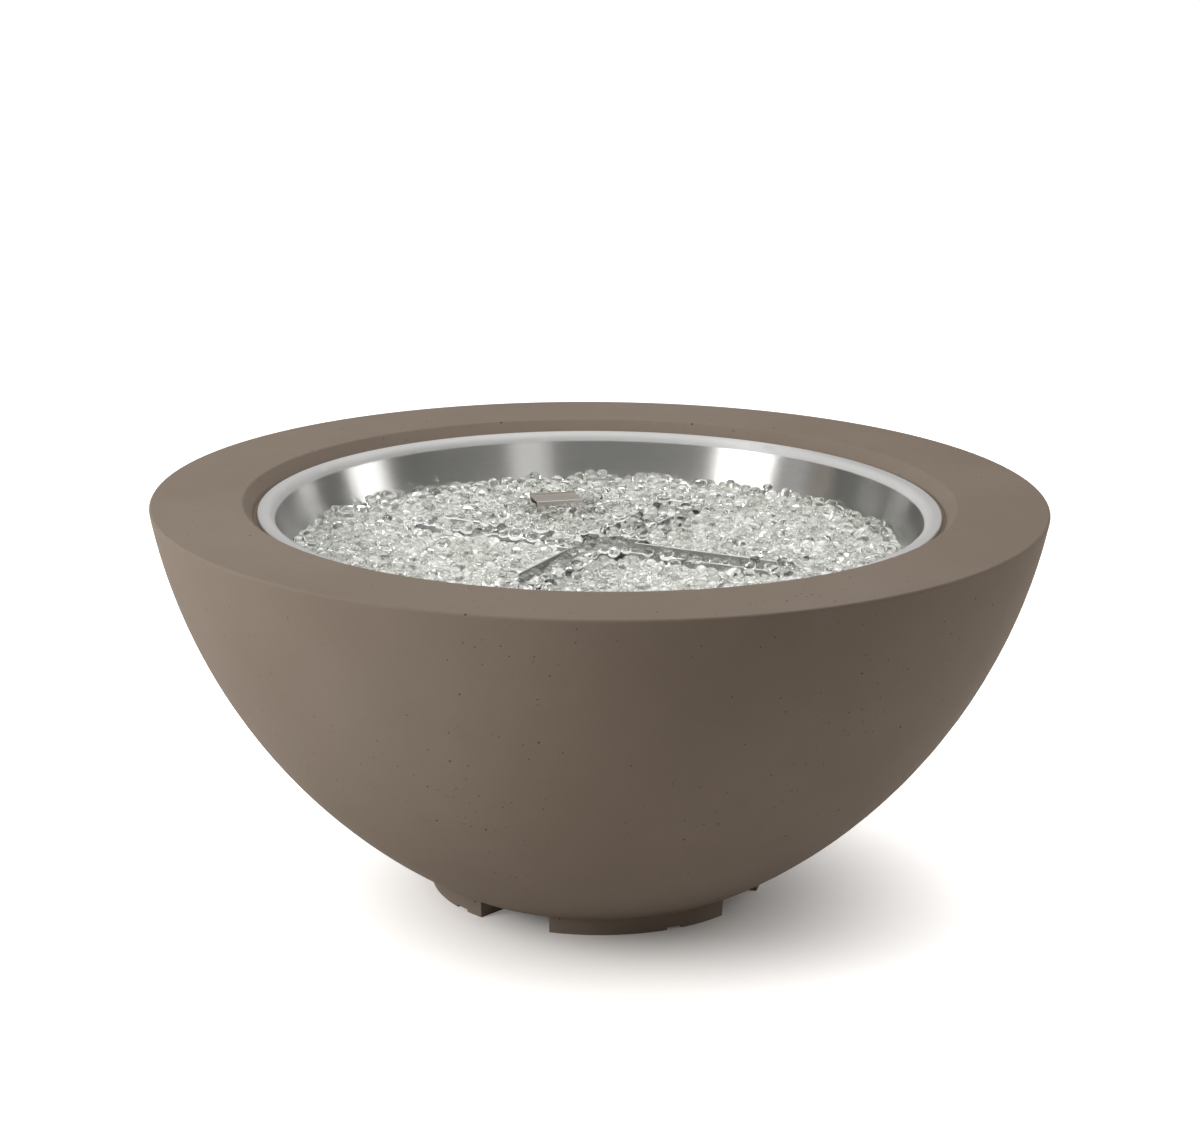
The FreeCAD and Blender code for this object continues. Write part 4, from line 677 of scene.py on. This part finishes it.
make_gems()
make_deep_bed()
make_cover()
make_burner_edge()


# Springs: the wire's radius, the corners round it, the steps of one turn, and a turn's rise in wire widths

SPRING_WIRE = 0.0003
SPRING_RING = 8
SPRING_TURN_STEPS = 20
SPRING_OPENNESS = 2.2


def make_spring(node, joint_name, body):
    """A coil in the space of a spring's plain tube."""
    joint = next(joint for joint in frame["joints"] if joint["name"] == joint_name)
    inward = np.array(joint["axis"])
    side = np.array([1.0, 0.0, 0.0])
    across = np.cross(inward, side)
    points = np.array([vertex.co for vertex in nodes[node].data.vertices])
    middle = (points.min(axis=0) + points.max(axis=0)) / 2
    along = (points - middle) @ inward
    reach = np.linalg.norm(points - middle - np.outer(along, inward), axis=1)
    length = along.max() - along.min()
    coil = (reach.max() + reach.min()) / 2
    turns = round(length / (2 * SPRING_WIRE * SPRING_OPENNESS))
    seat = middle + inward * along.max()
    steps = turns * SPRING_TURN_STEPS
    vertices = []
    for step in range(steps + 1):
        angle = 2 * math.pi * step / SPRING_TURN_STEPS
        out = side * math.cos(angle) + across * math.sin(angle)
        lift = SPRING_WIRE + (length - 2 * SPRING_WIRE) * step / steps
        for corner in range(SPRING_RING):
            a = 2 * math.pi * corner / SPRING_RING
            offset = out * (coil + SPRING_WIRE * math.cos(a)) - inward * (lift + SPRING_WIRE * math.sin(a))
            vertices.append((seat + offset).tolist())
    faces = ring_faces(steps + 1, SPRING_RING)
    faces.append(list(range(SPRING_RING))[::-1])
    faces.append([steps * SPRING_RING + corner for corner in range(SPRING_RING)])
    piece = new_piece(f"{node}_coil", vertices, faces, [SCREW_STEEL], body=body)
    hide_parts(node)
    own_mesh(piece)


make_spring("valve_spring", "knob_push", "valve_plug")
make_spring("igniter_spring", "igniter_press", "root")


# Stage: floor, sky, lamps and camera. Azimuths are the photograph's, where the camera looks along +Y.

PHOTO_TURN = math.radians(16)
FLOOR_SIZE = 14
FLOOR_COLOUR = (0.80, 0.77, 0.74, 1)
# The floor's own glow grows from nothing at the first distance from the point under the bowl to white, so the
# floor round the bowl is darker, a painted shade added to its real shadow
GLOW_CENTRE = (0.032, -0.062, 0)
GLOW_START, GLOW_END = 0.06, 0.52
WHITE, WARM = (1, 1, 1), (1, 0.8, 0.62)
SKY_FILL = (0.17, 0.15, 0.13)
SKY_IN_METAL = (0.10, 0.10, 0.10)
SKY_THROUGH_GLASS = (0.95, 0.95, 0.95)

# The azimuth, elevation, distance, width, height, power and colour of each soft lamp
LAMPS = {
    "key": (-152, 27, 3.3, 1.2, 1.5, 65, WHITE),
    "right": (13.6, 19, 3.3, 1.0, 1.4, 24, WHITE),
    "front": (-60, 32, 3.6, 0.9, 1.2, 10, WHITE),
    "side": (-177, 26, 3.3, 0.5, 1.4, 2.5, WHITE),
    "back_right": (49, 10, 3.3, 0.7, 0.8, 4.2, WHITE),
    "back_left": (123, 8, 3.3, 0.9, 0.8, 3, WHITE),
    "strip": (171.7, 19.5, 3.3, 0.08, 1.4, 1.2, WARM),
    "overhead": (90, 75, 3.0, 2.4, 2.4, 46, WHITE),
}
# This one only shows as a sheen on the steel and the glass
SHEEN_LAMP = "front"
LAMP_TARGET = Vector((0, 0, 0.3))

CAMERA_LENS, CAMERA_SENSOR = 92.28, 36
CAMERA_PLACE = (0.0008, -3.5627, 1.3610)
CAMERA_TILT, CAMERA_ROLL = math.radians(74.861), math.radians(0.505)


def make_lamp(name, azimuth, elevation, distance, width, height, power, colour):
    """A soft lamp that faces the bowl."""
    data = bpy.data.lights.new(name, "AREA")
    data.shape = "RECTANGLE"
    data.size, data.size_y = width, height
    data.energy = power
    data.color = colour
    lamp = bpy.data.objects.new(name, data)
    a, e = math.radians(azimuth) - PHOTO_TURN, math.radians(elevation)
    away = Vector((math.cos(a) * math.cos(e), math.sin(a) * math.cos(e), math.sin(e)))
    lamp.location = LAMP_TARGET + away * distance
    lamp.rotation_euler = away.to_track_quat("Z", "Y").to_euler()
    lamp.visible_diffuse = name != SHEEN_LAMP
    scene.collection.objects.link(lamp)


def floor_material():
    """A pale floor that keeps the soft shadow under the bowl, with a painted shade where its glow is weak
    round the bowl, and fades to plain white away from it.
    """
    shader = Shader("floor_white", Roughness=0.9, Specular_IOR_Level=0.0)
    shader.set("Base Color", FLOOR_COLOUR)
    away = shader.add("ShaderNodeVectorMath", {"operation": "DISTANCE"})
    shader.feed(away.inputs[0], shader.place)
    shader.feed(away.inputs[1], GLOW_CENTRE)
    glow_level = shader.add("ShaderNodeMapRange", {"interpolation_type": "SMOOTHSTEP"})
    for socket, value in (("Value", away.outputs["Value"]), ("From Min", GLOW_START), ("From Max", GLOW_END)):
        shader.feed(glow_level.inputs[socket], value)
    ray = shader.add("ShaderNodeLightPath").outputs
    through = shader.math("MAXIMUM", ray["Is Glossy Ray"], ray["Is Transmission Ray"])
    seen = shader.math("MAXIMUM", ray["Is Camera Ray"], through)
    strength = shader.math("MULTIPLY", seen, glow_level.outputs["Result"])
    glow = shader.add("ShaderNodeEmission", Color=(1, 1, 1, 1), Strength=strength)
    both = shader.add("ShaderNodeAddShader")
    shader.feed(both.inputs[0], shader.surface.outputs[0])
    shader.feed(both.inputs[1], glow.outputs[0])
    shader.finish_with(both)
    return shader.material


def make_floor():
    corners = [(x * FLOOR_SIZE, y * FLOOR_SIZE, 0) for x, y in ((-1, -1), (1, -1), (1, 1), (-1, 1))]
    mesh = bpy.data.meshes.new("floor")
    mesh.from_pydata(corners, [], [(0, 1, 2, 3)])
    mesh.materials.append(floor_material())
    floor = bpy.data.objects.new("floor", mesh)
    scene.collection.objects.link(floor)


def make_sky():
    """White where the camera sees it, bright through glass, dim in metal and softly lighting the rest."""
    world = bpy.data.worlds.new("studio")
    scene.world = world
    world.use_nodes = True
    tree = world.node_tree
    background = tree.nodes["Background"]
    ray = tree.nodes.new("ShaderNodeLightPath").outputs
    kinds = {"Is Glossy Ray": SKY_IN_METAL, "Is Transmission Ray": SKY_THROUGH_GLASS, "Is Camera Ray": WHITE}
    before = None
    for kind, colour in kinds.items():
        choice = tree.nodes.new("ShaderNodeMix")
        choice.data_type = "RGBA"
        first, second = choice.inputs[MIX_FIRST], choice.inputs[MIX_SECOND]
        tree.links.new(ray[kind], choice.inputs[MIX_SHARE])
        first.default_value = (*SKY_FILL, 1)
        second.default_value = (*colour, 1)
        if before is not None:
            tree.links.new(before, first)
        before = choice.outputs[MIX_RESULT]
    tree.links.new(before, background.inputs["Color"])


def make_camera():
    """The camera where the photograph's stood."""
    data = bpy.data.cameras.new("camera")
    data.lens = CAMERA_LENS
    data.sensor_width = CAMERA_SENSOR
    camera = bpy.data.objects.new("camera", data)
    scene.collection.objects.link(camera)
    place = Matrix.Translation(CAMERA_PLACE)
    tilt = Matrix.Rotation(CAMERA_TILT, 4, "X")
    roll = Matrix.Rotation(CAMERA_ROLL, 4, "Z")
    camera.matrix_world = Matrix.Rotation(-PHOTO_TURN, 4, "Z") @ place @ tilt @ roll
    scene.camera = camera


make_floor()
make_sky()
for lamp_name, settings in LAMPS.items():
    make_lamp(lamp_name, *settings)
make_camera()
scene.view_settings.view_transform = "Standard"
